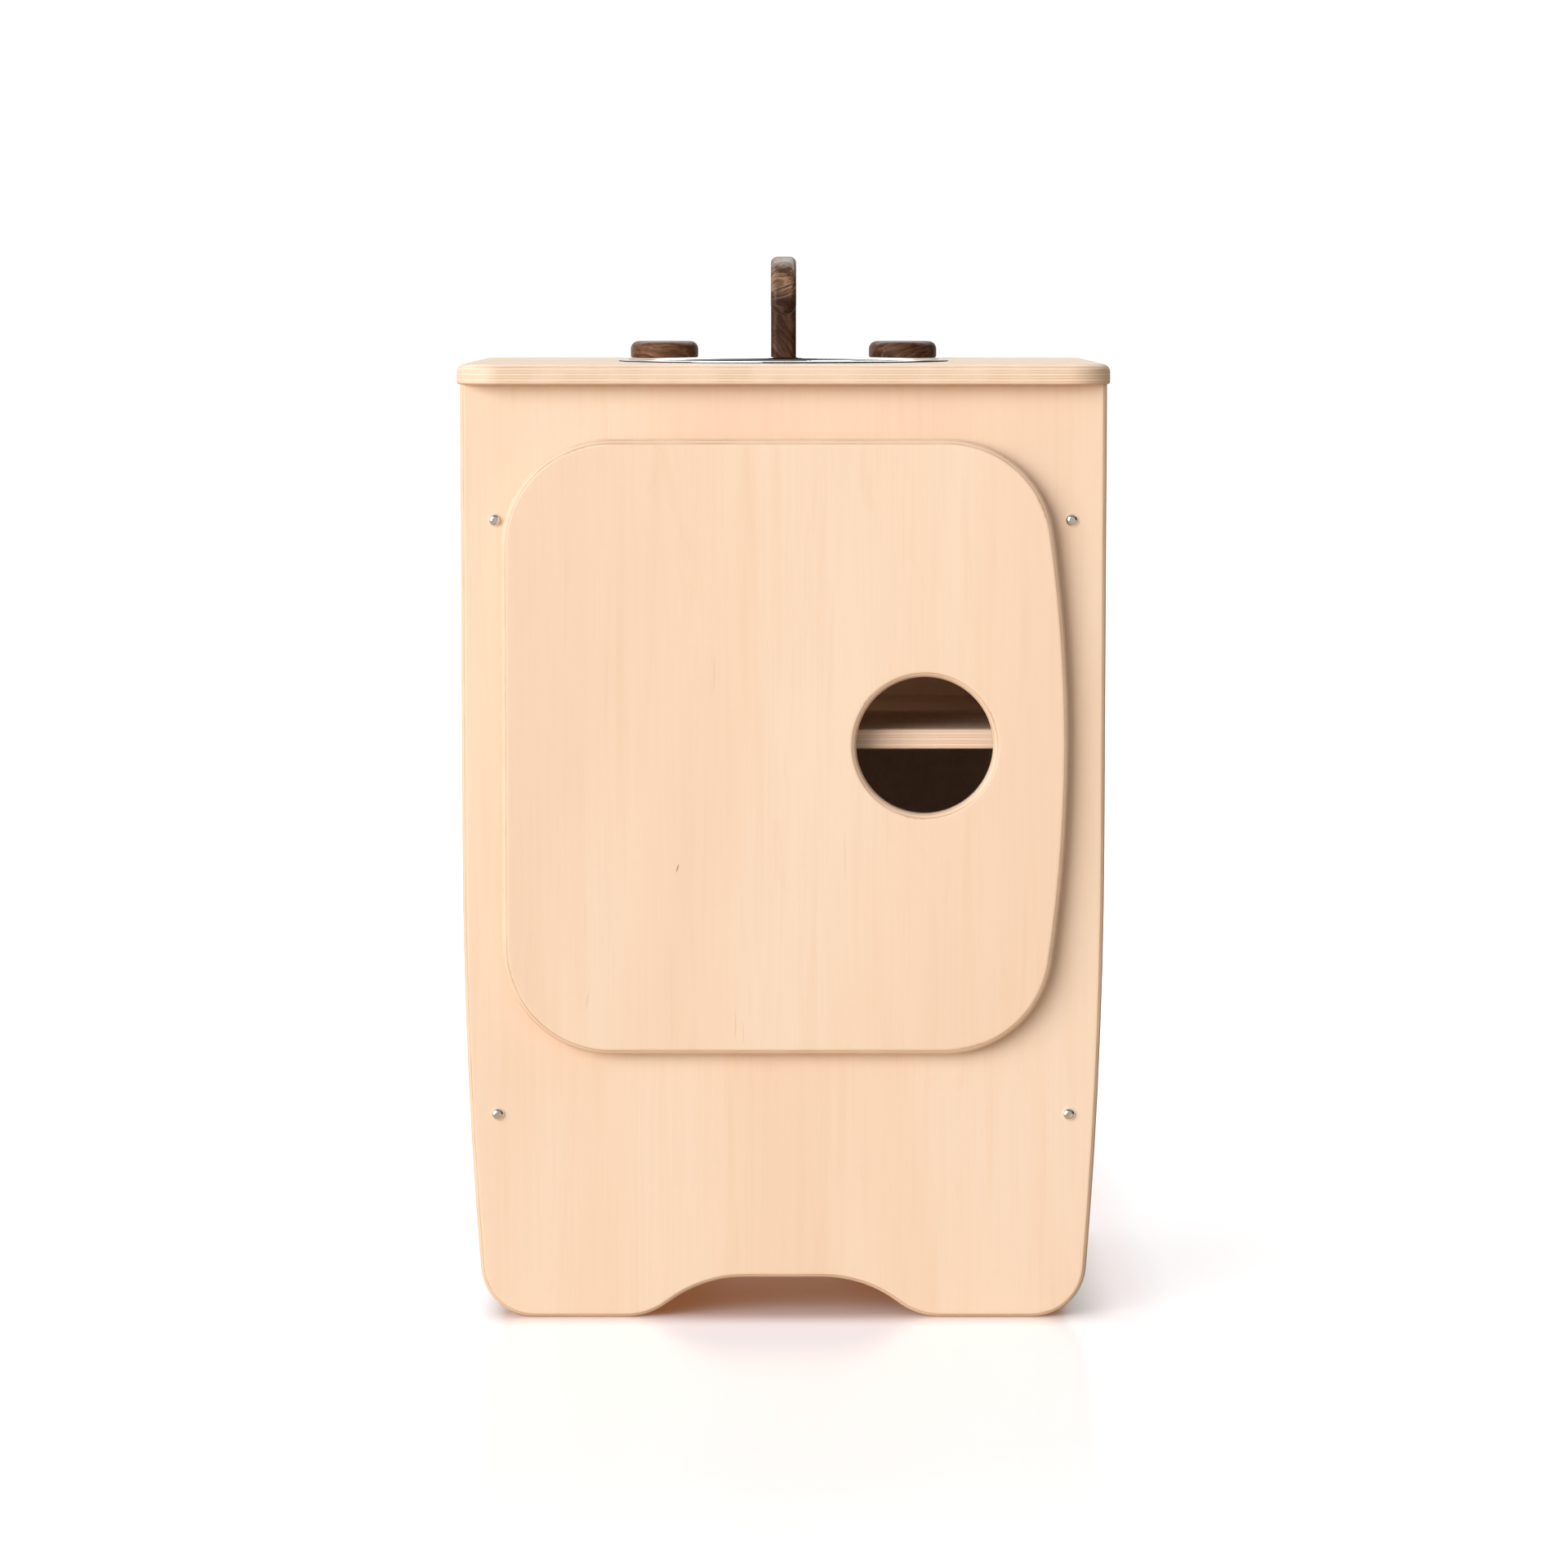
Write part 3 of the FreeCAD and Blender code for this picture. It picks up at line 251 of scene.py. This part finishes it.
def plies(shader, deep, half):
    """Colour of the cut edge and share of glue: every other ply shows its end grain."""
    position = shader.object_position()
    pitch = (2 * half - 2 * VENEER_THICK) / PLY_COUNT
    wander = shader.math("SUBTRACT", shader.noise(position, 22, 2), 0.5)
    wavy = shader.math("MULTIPLY_ADD", wander, PLY_WANDER, deep)
    layer = shader.math("DIVIDE", shader.math("SUBTRACT", wavy, VENEER_THICK), pitch)
    within = shader.math("FRACT", layer)
    nearest = shader.math("MINIMUM", within, shader.math("SUBTRACT", 1.0, within))
    glue = shader.remap(nearest, GLUE_THICK / pitch, 3.2 * GLUE_THICK / pitch, 1.0, 0.0)
    across = shader.remap(shader.math("PINGPONG", shader.math("ADD", layer, 0.5), 1.0), 0.35, 0.65)
    pores = shader.noise(position, 700, 3, 0.6)
    patchy = shader.noise(position, 38, 3, 0.6)
    edge = shader.mix(across, PLY_ALONG, PLY_ACROSS)
    edge = shader.mix(shader.remap(pores, 0.42, 0.70, 0.0, 0.30), edge, PLY_ACROSS)
    glue_share = shader.math("MULTIPLY", glue, shader.remap(patchy, 0.3, 0.7, 0.12, 0.52))
    return shader.mix(glue_share, edge, GLUE), glue


def add_mark(shader, face, parts, stack, grain, fine, place, wide, long, lean, strength):
    """A short brown pin knot or pith fleck that leans off the grain."""
    offsets = {axis: shader.math("SUBTRACT", parts[axis], centre) for axis, centre in zip(AXES, place)}
    side = next(axis for axis in AXES if axis not in (stack, grain))
    leaning = shader.math("MULTIPLY_ADD", offsets[grain], -lean, offsets[side])
    across = shader.math("DIVIDE", leaning, wide)
    along = shader.math("DIVIDE", offsets[grain], long)
    distance = shader.vector_math("LENGTH", shader.vector(across, along, 0.0))
    ragged = shader.math("MULTIPLY_ADD", fine, 0.5, distance)
    return shader.mix(shader.remap(ragged, 0.7, 1.5, strength, 0.0), face, MARK_BROWN)


# ---------------------------------------------------------------- walnut

WALNUT_DARK = (0.040, 0.0145, 0.0065)
WALNUT_MIDDLE = (0.085, 0.0360, 0.0180)
WALNUT_LIGHT = (0.148, 0.0710, 0.0390)
WALNUT_PALE = (0.235, 0.132, 0.078)
# palest streaks on the tap above the spout's end: partly the wood's figure, partly a painted highlight
WALNUT_PALE_HIGHLIGHT = (0.330, 0.190, 0.108)
WALNUT_WANDER = 14 * MM

# bands of colour, pale streaks, dark threads and short pores
WALNUT_FIGURE = {
    "bands": dict(across=170, along=20, distortion=0.3),
    "pale": dict(across=330, along=26, step=13, detail=4, roughness=0.6, distortion=0.3),
    "threads": dict(across=760, along=40, step=5, roughness=0.6),
    "pores": dict(across=2600, along=210, step=9, detail=2),
}


def walnut(name, seed, lift, shine, turn, pale_highlight_above=None):
    """Oiled walnut: streaks that swirl across the piece, pale bands and short dark pores.

    lift scales its lightness, and shine is its specular level. turn is (low, high, angle_low,
    angle_high): the streaks lean by an angle in the XZ plane that changes with height.
    The last argument is (from, to), the heights above which the wood turns glossier and its pale streaks
    paler, partly as its own figure and partly as a painted highlight.
    """
    shader = Shader(name)
    position = shader.object_position()
    height = shader.axis_values(position)["z"]
    parts = swirling(shader, position, height, turn)
    figure = shader.figure(parts, "x", seed, WALNUT_FIGURE)
    dark, middle, light, pale = (scaled(colour, lift)
                                 for colour in (WALNUT_DARK, WALNUT_MIDDLE, WALNUT_LIGHT, WALNUT_PALE))
    colour = shader.ramp(figure["bands"], [(0.30, dark), (0.50, middle), (0.70, light)])
    pale_share = shader.math("MULTIPLY", shader.remap(figure["pale"], 0.48, 0.66), 0.42)
    colour = shader.mix(pale_share, colour, pale)
    # above the spout's end: pale streaks painted paler, partly the wood's figure and partly a painted
    # highlight; glossier wood too
    if pale_highlight_above is not None:
        streaky = shader.remap(figure["pale"], 0.42, 0.60, 0.05, 0.90)
        share = shader.math("MULTIPLY", shader.remap(height, *pale_highlight_above), streaky)
        colour = shader.mix(share, colour, WALNUT_PALE_HIGHLIGHT)
        shine = shader.remap(height, *pale_highlight_above, 0.4 * shine, 1.15 * shine)
    colour = shader.mix(shader.remap(figure["threads"], 0.42, 0.66, 0.0, 0.72), colour, dark)
    colour = shader.mix(shader.remap(figure["pores"], 0.60, 0.80, 0.0, 0.50), colour, scaled(dark, 0.5))
    normal = shader.bump(figure["pores"], 0.10, FIBRE_DEEP)
    normal = shader.bump(figure["threads"], 0.05, FIBRE_DEEP, normal)
    gloss = shader.remap(figure["bands"], 0.3, 0.7, 0.28, 0.36)
    return shader.finish(base_color=colour, roughness=gloss, normal=normal, specular_ior_level=shine)


def swirling(shader, position, height, turn):
    """Position for the walnut's fibres: turned by height and pushed about by slow noise."""
    low, high, angle_low, angle_high = turn
    lean = shader.node("ShaderNodeVectorRotate", rotation_type="Y_AXIS")
    shader.join(position, lean.inputs["Vector"])
    lean.inputs["Center"].default_value = (0, 0, (low + high) / 2)
    shader.join(shader.remap(height, low, high, angle_low, angle_high), lean.inputs["Angle"])
    swirl = shader.noise(position, 32, 2, 0.5, 0.4, output="Color")
    wander = shader.node("ShaderNodeVectorMath", operation="SCALE")
    shader.join(shader.vector_math("SUBTRACT", swirl, (0.5, 0.5, 0.5)), wander.inputs[0])
    wander.inputs["Scale"].default_value = WALNUT_WANDER
    return shader.axis_values(shader.vector_math("ADD", lean.outputs[0], wander.outputs[0]))


# ---------------------------------------------------------------- metal and plain wood

LINE_DEEP = 0.01 * MM
# colour of the painted shade under the bowl's rim
PAINTED_RIM_SHADE = (0.035, 0.028, 0.022)


def polished_metal(name, tint, roughness):
    """Bright metal with faint scratches."""
    shader = Shader(name)
    lines = shader.noise(shader.object_position(), 900, 3, 0.6)
    colour, gloss = smudged(shader, tint, roughness)
    return shader.finish(base_color=colour, roughness=gloss, normal=shader.bump(lines, 0.03, LINE_DEEP),
                         metallic=1.0)


def spun_metal(name, tint, roughness, axis, shade_height, shade_radius):
    """Bright metal turned about an upright axis, with painted shade: below a height and outside a radius it
    is dark and rougher.
    """
    shader = Shader(name)
    parts = shader.axis_values(shader.object_position())
    off_axis = [shader.math("SUBTRACT", parts[side], middle) for side, middle in zip("xy", axis)]
    radius = shader.vector_math("LENGTH", shader.vector(*off_axis, 0.0))
    lines = shader.noise(shader.vector(radius, parts["z"], 0.0), 1400, 2, 0.6)
    colour, gloss = smudged(shader, tint, roughness)
    # painted shade under the rim's rolled edge: dark and rougher below a height and outside a radius
    outside = shader.remap(radius, shade_radius - 0.5 * MM, shade_radius)
    below = shader.remap(parts["z"], shade_height - 0.1 * MM, shade_height, 1.0, 0.0)
    painted_shade = shader.math("MULTIPLY", outside, below)
    colour = shader.mix(painted_shade, colour, PAINTED_RIM_SHADE)
    gloss = shader.math("MAXIMUM", gloss, shader.math("MULTIPLY", painted_shade, 0.6))
    return shader.finish(base_color=colour, roughness=gloss, normal=shader.bump(lines, 0.03, LINE_DEEP),
                         metallic=1.0)


def smudged(shader, tint, roughness):
    """Colour and roughness of metal that has been wiped but not evenly."""
    smudge = shader.noise(shader.object_position(), 30, 4, 0.6, 0.6)
    colour = shader.mix(shader.remap(smudge, 0.4, 0.75, 0.0, 0.35), tint, scaled(tint, 0.88))
    return colour, shader.math("MULTIPLY_ADD", smudge, roughness * 0.8, roughness * 0.6)


def plain_wood(name, light, dark, grain, seed):
    """Planed softwood or beech for the hidden battens, pins and dowels."""
    shader = Shader(name)
    parts = shader.axis_values(shader.object_position())
    rings = shader.fibres(parts, grain, seed, 260, 5, roughness=0.6, distortion=0.5)
    fine = shader.fibres(parts, grain, seed, 1100, 40, step=2, detail=2)
    colour = shader.mix(shader.remap(rings, 0.35, 0.7), light, dark)
    colour = shader.mix(shader.remap(fine, 0.5, 0.8, 0.0, 0.3), colour, dark)
    return shader.finish(base_color=colour, roughness=shader.remap(fine, 0.3, 0.7, 0.5, 0.65),
                         normal=shader.bump(fine, 0.2, 0.06 * MM))


# ---------------------------------------------------------------- painting the CAD nodes

# material, node, axis through the plies, axis along the grain, seed
BOARDS = (
    ("ply_front_panel", "front_panel", "y", "z", 2.3),
    ("ply_back_panel", "back_panel", "y", "z", 11.9),
    ("ply_left_side", "left_side_panel", "x", "z", 17.2),
    ("ply_right_side", "right_side_panel", "x", "z", 23.6),
    ("ply_counter_top", "counter_top", "z", "x", 31.4),
    ("ply_shelf", "shelf", "z", "x", 37.7),
    ("ply_bottom_board", "bottom_board", "z", "x", 43.5),
)
# on the door: share of its width and height, half width, half length, lean, strength
DOOR_MARKS = (
    (0.310, 0.306, 0.55 * MM, 2.6 * MM, 0.30, 0.85),
    (0.412, 0.050, 0.45 * MM, 9.0 * MM, 0.02, 0.20),
    (0.426, 0.036, 0.35 * MM, 7.0 * MM, -0.03, 0.17),
    (0.150, 0.090, 0.60 * MM, 6.0 * MM, 0.15, 0.20),
    (0.375, 0.625, 0.50 * MM, 11.0 * MM, 0.04, 0.16),
    (0.605, 0.330, 0.45 * MM, 14.0 * MM, -0.02, 0.14),
)
ZINC_NODES = ("cleat_side_screws", "cleat_counter_screws", "left_barrel_nuts", "right_barrel_nuts",
              "lower_hinge_bracket", "upper_hinge_bracket", "lower_hinge_pin", "upper_hinge_pin",
              "hinge_screws", "strike_disc")
NICKEL_NODES = ("front_panel_bolts", "back_panel_bolts", "catch_magnet")

# the shade under the bowl's rim: up from the counter, and in from the rim's edge
RIM_SHADE_HIGH = 0.66 * MM
RIM_SHADE_DEEP = 2.0 * MM

# the end of the spout, below the tap's top
SPOUT_END_DROP = 30 * MM


def paint(node, material):
    """Give a CAD node its material."""
    slots = NODES[node].data.materials
    slots.clear()
    slots.append(material)


def paint_boards():
    """Every board with its own stack and grain direction."""
    for name, node, stack, grain, seed in BOARDS:
        paint(node, plywood(name, node, stack, grain, seed))
    low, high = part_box("door")
    marks = []
    for share_x, share_z, *shape in DOOR_MARKS:
        place = (low.x + share_x * (high.x - low.x), low.y, low.z + share_z * (high.z - low.z))
        marks.append((place, *shape))
    paint("door", plywood("ply_door", "door", "y", "z", 5.1, marks))


def paint_fittings():
    """Battens, pins, screws, hinges, catch, bowl and the metal inside the turning parts."""
    softwood = plain_wood("softwood", (0.72, 0.53, 0.33), (0.58, 0.38, 0.20), "y", 3.3)
    beech = plain_wood("beech", (0.70, 0.49, 0.31), (0.56, 0.36, 0.21), "x", 8.1)
    zinc = polished_metal("zinc_plate", (0.66, 0.67, 0.69), 0.30)
    nickel = polished_metal("bright_nickel", (0.90, 0.90, 0.89), 0.16)
    brass = polished_metal("turned_brass", (0.78, 0.56, 0.24), 0.22)
    for node in ("left_counter_cleat", "right_counter_cleat"):
        paint(node, softwood)
    for node in ("shelf_pins", "bottom_board_dowels"):
        paint(node, beech)
    for node in ZINC_NODES:
        paint(node, zinc)
    for node in NICKEL_NODES:
        paint(node, nickel)
    for owner in ("left_knob", "tap", "right_knob"):
        paint(f"{owner}_insert", brass)
        paint(f"{owner}_washer", zinc)
        paint(f"{owner}_axle_bolt", zinc)
    # where the painted shade under the bowl's rim ends: its height and its radius
    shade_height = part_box("counter_top")[1].z + RIM_SHADE_HIGH
    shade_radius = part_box("sink_bowl")[1].x - RIM_SHADE_DEEP
    axis = centre_of("sink_bowl")
    paint("sink_bowl", spun_metal("spun_steel", (0.66, 0.66, 0.64), 0.07, axis, shade_height, shade_radius))


def paint_turned_parts():
    """Tap and knobs, each from its own piece of walnut."""
    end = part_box("tap")[1].z - SPOUT_END_DROP
    turn = (end - 9 * MM, end + 9 * MM, -1.05, 0.42)
    paint("tap", walnut("walnut_tap", 4.2, 0.66, 0.24, turn, (end - 2 * MM, end + 14 * MM)))
    low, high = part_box("left_knob")
    paint("left_knob", walnut("walnut_left_knob", 9.4, 1.36, 0.10, (low.z, high.z, -0.30, -0.10)))
    paint("right_knob", walnut("walnut_right_knob", 15.8, 0.92, 0.09, (low.z, high.z, -0.90, -0.50)))


# ---------------------------------------------------------------- floor

# light that the floor gives off to the camera: everywhere but close by, far off, under the cabinet
# and to its right
FLOOR_GLOW = 0.41
FLOOR_TINT = (1.0, 0.935, 0.995)
FAR_GLOW = 0.34
UNDER_GLOW = (0.165, 0.045, 0.008)
RIGHT_GLOW = (0.050, 0.096, 0.102)
FAR_BEGINS = 0.5
FAR_FULL = 1.3
FLOOR_SHINE = 0.35
FLOOR_HALF = 12.0

# where the shades fade: shares of half the cabinet's width, and distances past its back and front
NEAR_LEFT = (-0.97, -0.86)
NEAR_RIGHT = (0.84, 1.10)
NEAR_PAST = (-0.03, 0.02)
UNDER_SIDES = (0.80, 0.95)
UNDER_PAST = (-0.03, 0.05)
RIGHT_FADE = (1.08, 1.28)


def floor_glow(shader, parts, far):
    """Lifts the floor to white like a cut-out's ground, except close to the cabinet."""
    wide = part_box("front_panel")[1].x
    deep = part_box("back_panel")[1].y
    off_middle = shader.math("ABSOLUTE", parts["x"])

    def within_depth(past):
        return shader.remap(shader.math("ABSOLUTE", parts["y"]), deep + past[0], deep + past[1], 1.0, 0.0)

    near = shader.math("MULTIPLY", shader.remap(parts["x"], *scaled(NEAR_LEFT, wide)),
                       shader.remap(parts["x"], *scaled(NEAR_RIGHT, wide), 1.0, 0.0))
    near = shader.math("MULTIPLY", near, within_depth(NEAR_PAST))
    under = shader.math("MULTIPLY", shader.remap(off_middle, *scaled(UNDER_SIDES, wide), 1.0, 0.0),
                        within_depth(UNDER_PAST))
    right = shader.remap(parts["x"], *scaled(RIGHT_FADE, wide))
    glow = shader.math("MULTIPLY", shader.math("SUBTRACT", 1.0, near), FLOOR_GLOW)
    glow = shader.math("MULTIPLY_ADD", far, FAR_GLOW, glow)
    lift = shader.vector_math("ADD", shader.tinted(FLOOR_TINT, glow), shader.tinted(UNDER_GLOW, under))
    return shader.vector_math("ADD", lift, shader.tinted(RIGHT_GLOW, right))


def floor_material():
    """White, slightly glossy floor for the camera and a plain wood-warmed one for bounced light."""
    shader = Shader("studio_floor")
    position = shader.object_position()
    parts = shader.axis_values(position)
    patch = shader.noise(position, 3)
    far = shader.remap(shader.vector_math("LENGTH", position), FAR_BEGINS, FAR_FULL)
    colour = shader.mix(patch, (0.79, 0.782, 0.800), (0.77, 0.762, 0.780))
    material = shader.finish(base_color=colour, roughness=shader.remap(patch, 0.3, 0.7, 0.18, 0.22),
                             specular_ior_level=shader.math("MULTIPLY_ADD", far, -FLOOR_SHINE, FLOOR_SHINE),
                             emission_color=floor_glow(shader, parts, far), emission_strength=1.0)
    bounce = shader.node("ShaderNodeBsdfDiffuse")
    shader.join(shader.mix(patch, (0.66, 0.51, 0.37), (0.64, 0.49, 0.35)), bounce.inputs["Color"])
    surface = shader.tree.nodes["Material Output"].inputs["Surface"]
    shader.split_by_camera(shader.bsdf.outputs[0], bounce.outputs[0], surface)
    return material


def make_floor():
    """One large staged square under the cabinet."""
    mesh = bpy.data.meshes.new("floor")
    corners = [(side_x * FLOOR_HALF, side_y * FLOOR_HALF, 0)
               for side_x, side_y in ((-1, -1), (1, -1), (1, 1), (-1, 1))]
    mesh.from_pydata(corners, [], [(0, 1, 2, 3)])
    floor = bpy.data.objects.new("floor", mesh)
    bpy.context.scene.collection.objects.link(floor)
    mesh.materials.append(floor_material())


# ---------------------------------------------------------------- light and camera

# brightness of the sky by direction: where it begins, where it is full, how much it adds
SKY_LEAST = 0.04
SKY_BEHIND = (0.35, 0.90, 0.84)
SKY_FRONT = (-0.55, -1.0, 0.85)
SKY_LEFT = (-0.15, -0.95, 0.60)
SKY_ABOVE = (0.30, 0.95, 0.36)

# what the sky behind loses to the right, and reflections lose in front
RIGHT_LOSS = (0.15, 0.75, 0.55)
REFLECTED_FRONT_LOSS = (-0.1, -0.5, 0.50)

# a bright panel behind and above that only reflections show: the gloss on top of the tap
PANEL_BACK = (0.24, 0.34, 1.0)
PANEL_UP = (0.48, 0.66, 1.0)
PANEL_BRIGHTNESS = 4.3

# warm light from behind and the right, cool light from the front and the left
SKY_WARM = (1.0, 0.92, 0.83)
SKY_COOL = (0.95, 1.0, 1.04)
COOL_RANGE = (0.0, -0.6, 1.0)
BACKDROP = 1.05

KEY_ENERGY = 3.76
KEY_SPREAD = math.radians(52)
KEY_COLOUR = (1.0, 0.992, 0.975)
TOWARDS_KEY = Vector((-0.66, -0.75, 0.17))

SHELF_GLOW_SIZE = (0.24, 0.08)
SHELF_GLOW_RISE = 0.07
SHELF_GLOW_ENERGY = 0.016
SHELF_GLOW_COLOUR = (1.0, 0.72, 0.52)


def make_world():
    """A white studio: the camera sees plain white, and the light comes from all sides but the right."""
    world = bpy.data.worlds.new("studio")
    bpy.context.scene.world = world
    world.use_nodes = True
    sky = Nodes(world.node_tree)
    towards = sky.axis_values(sky.node("ShaderNodeTexCoord").outputs["Generated"])
    reflected = sky.node("ShaderNodeLightPath").outputs["Is Glossy Ray"]

    def share(axis, low, high, amount):
        return sky.remap(towards[axis], low, high, 0.0, amount)

    right_kept = sky.math("SUBTRACT", 1.0, share("x", *RIGHT_LOSS))
    strength = sky.math("MULTIPLY", share("y", *SKY_BEHIND), right_kept)
    strength = sky.math("ADD", strength, SKY_LEAST)
    for axis, amount in (("y", SKY_FRONT), ("x", SKY_LEFT), ("z", SKY_ABOVE)):
        strength = sky.math("ADD", strength, share(axis, *amount))
    front_loss = sky.math("MULTIPLY", share("y", *REFLECTED_FRONT_LOSS), reflected)
    strength = sky.math("MULTIPLY", strength, sky.math("SUBTRACT", 1.0, front_loss))
    panel = sky.math("MULTIPLY", share("y", *PANEL_BACK), share("z", *PANEL_UP))
    panel = sky.math("MULTIPLY", panel, reflected)
    strength = sky.math("ADD", strength, sky.math("MULTIPLY", panel, PANEL_BRIGHTNESS))
    cool = sky.math("MAXIMUM", share("y", *COOL_RANGE), share("x", *COOL_RANGE))
    cool = sky.math("MAXIMUM", cool, panel)

    around = sky.node("ShaderNodeBackground")
    sky.join(sky.mix(cool, SKY_WARM, SKY_COOL), around.inputs["Color"])
    sky.join(strength, around.inputs["Strength"])
    seen = sky.tree.nodes["Background"]
    seen.inputs["Color"].default_value = (1, 1, 1, 1)
    seen.inputs["Strength"].default_value = BACKDROP
    surface = sky.tree.nodes["World Output"].inputs["Surface"]
    sky.split_by_camera(seen.outputs[0], around.outputs[0], surface)


def add_lamp(data, towards_light, place=(0, 0, 0)):
    """Put a light in the scene so that it shines from a direction."""
    lamp = bpy.data.objects.new(data.name, data)
    lamp.location = place
    lamp.rotation_euler = towards_light.to_track_quat("Z", "Y").to_euler()
    bpy.context.scene.collection.objects.link(lamp)
    return lamp


def make_key_light():
    """One broad soft light from the left and in front, only a little above the floor's level."""
    key = bpy.data.lights.new("key", "SUN")
    key.energy = KEY_ENERGY
    key.angle = KEY_SPREAD
    key.color = KEY_COLOUR
    add_lamp(key, TOWARDS_KEY)


def make_shelf_glow():
    """A weak warm light in the upper compartment, for what bounces about in there."""
    glow = bpy.data.lights.new("shelf_glow", "AREA")
    glow.shape = "RECTANGLE"
    glow.size, glow.size_y = SHELF_GLOW_SIZE
    glow.energy = SHELF_GLOW_ENERGY
    glow.color = SHELF_GLOW_COLOUR
    lamp = add_lamp(glow, Vector((0, -1, 0)), (0, 0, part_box("shelf")[1].z + SHELF_GLOW_RISE))
    lamp.visible_camera = False
    lamp.visible_glossy = False


def make_camera():
    """Long lens, a little above the counter, straight in front and tipped slightly down."""
    lens = 122.55
    distance = 3.300
    height = 0.6163
    aside = 0.0003
    tip = math.radians(5.328)
    data = bpy.data.cameras.new("camera")
    data.lens = lens
    data.sensor_width = 36.0
    data.clip_end = 60.0
    camera = bpy.data.objects.new("camera", data)
    camera.location = (aside, -distance, height)
    camera.rotation_euler = (math.radians(90) - tip, 0, 0)
    bpy.context.scene.collection.objects.link(camera)
    bpy.context.scene.camera = camera
    bpy.context.scene.view_settings.view_transform = "Standard"


make_camera()
make_world()
make_key_light()
make_shelf_glow()
make_floor()
paint_boards()
paint_fittings()
paint_turned_parts()
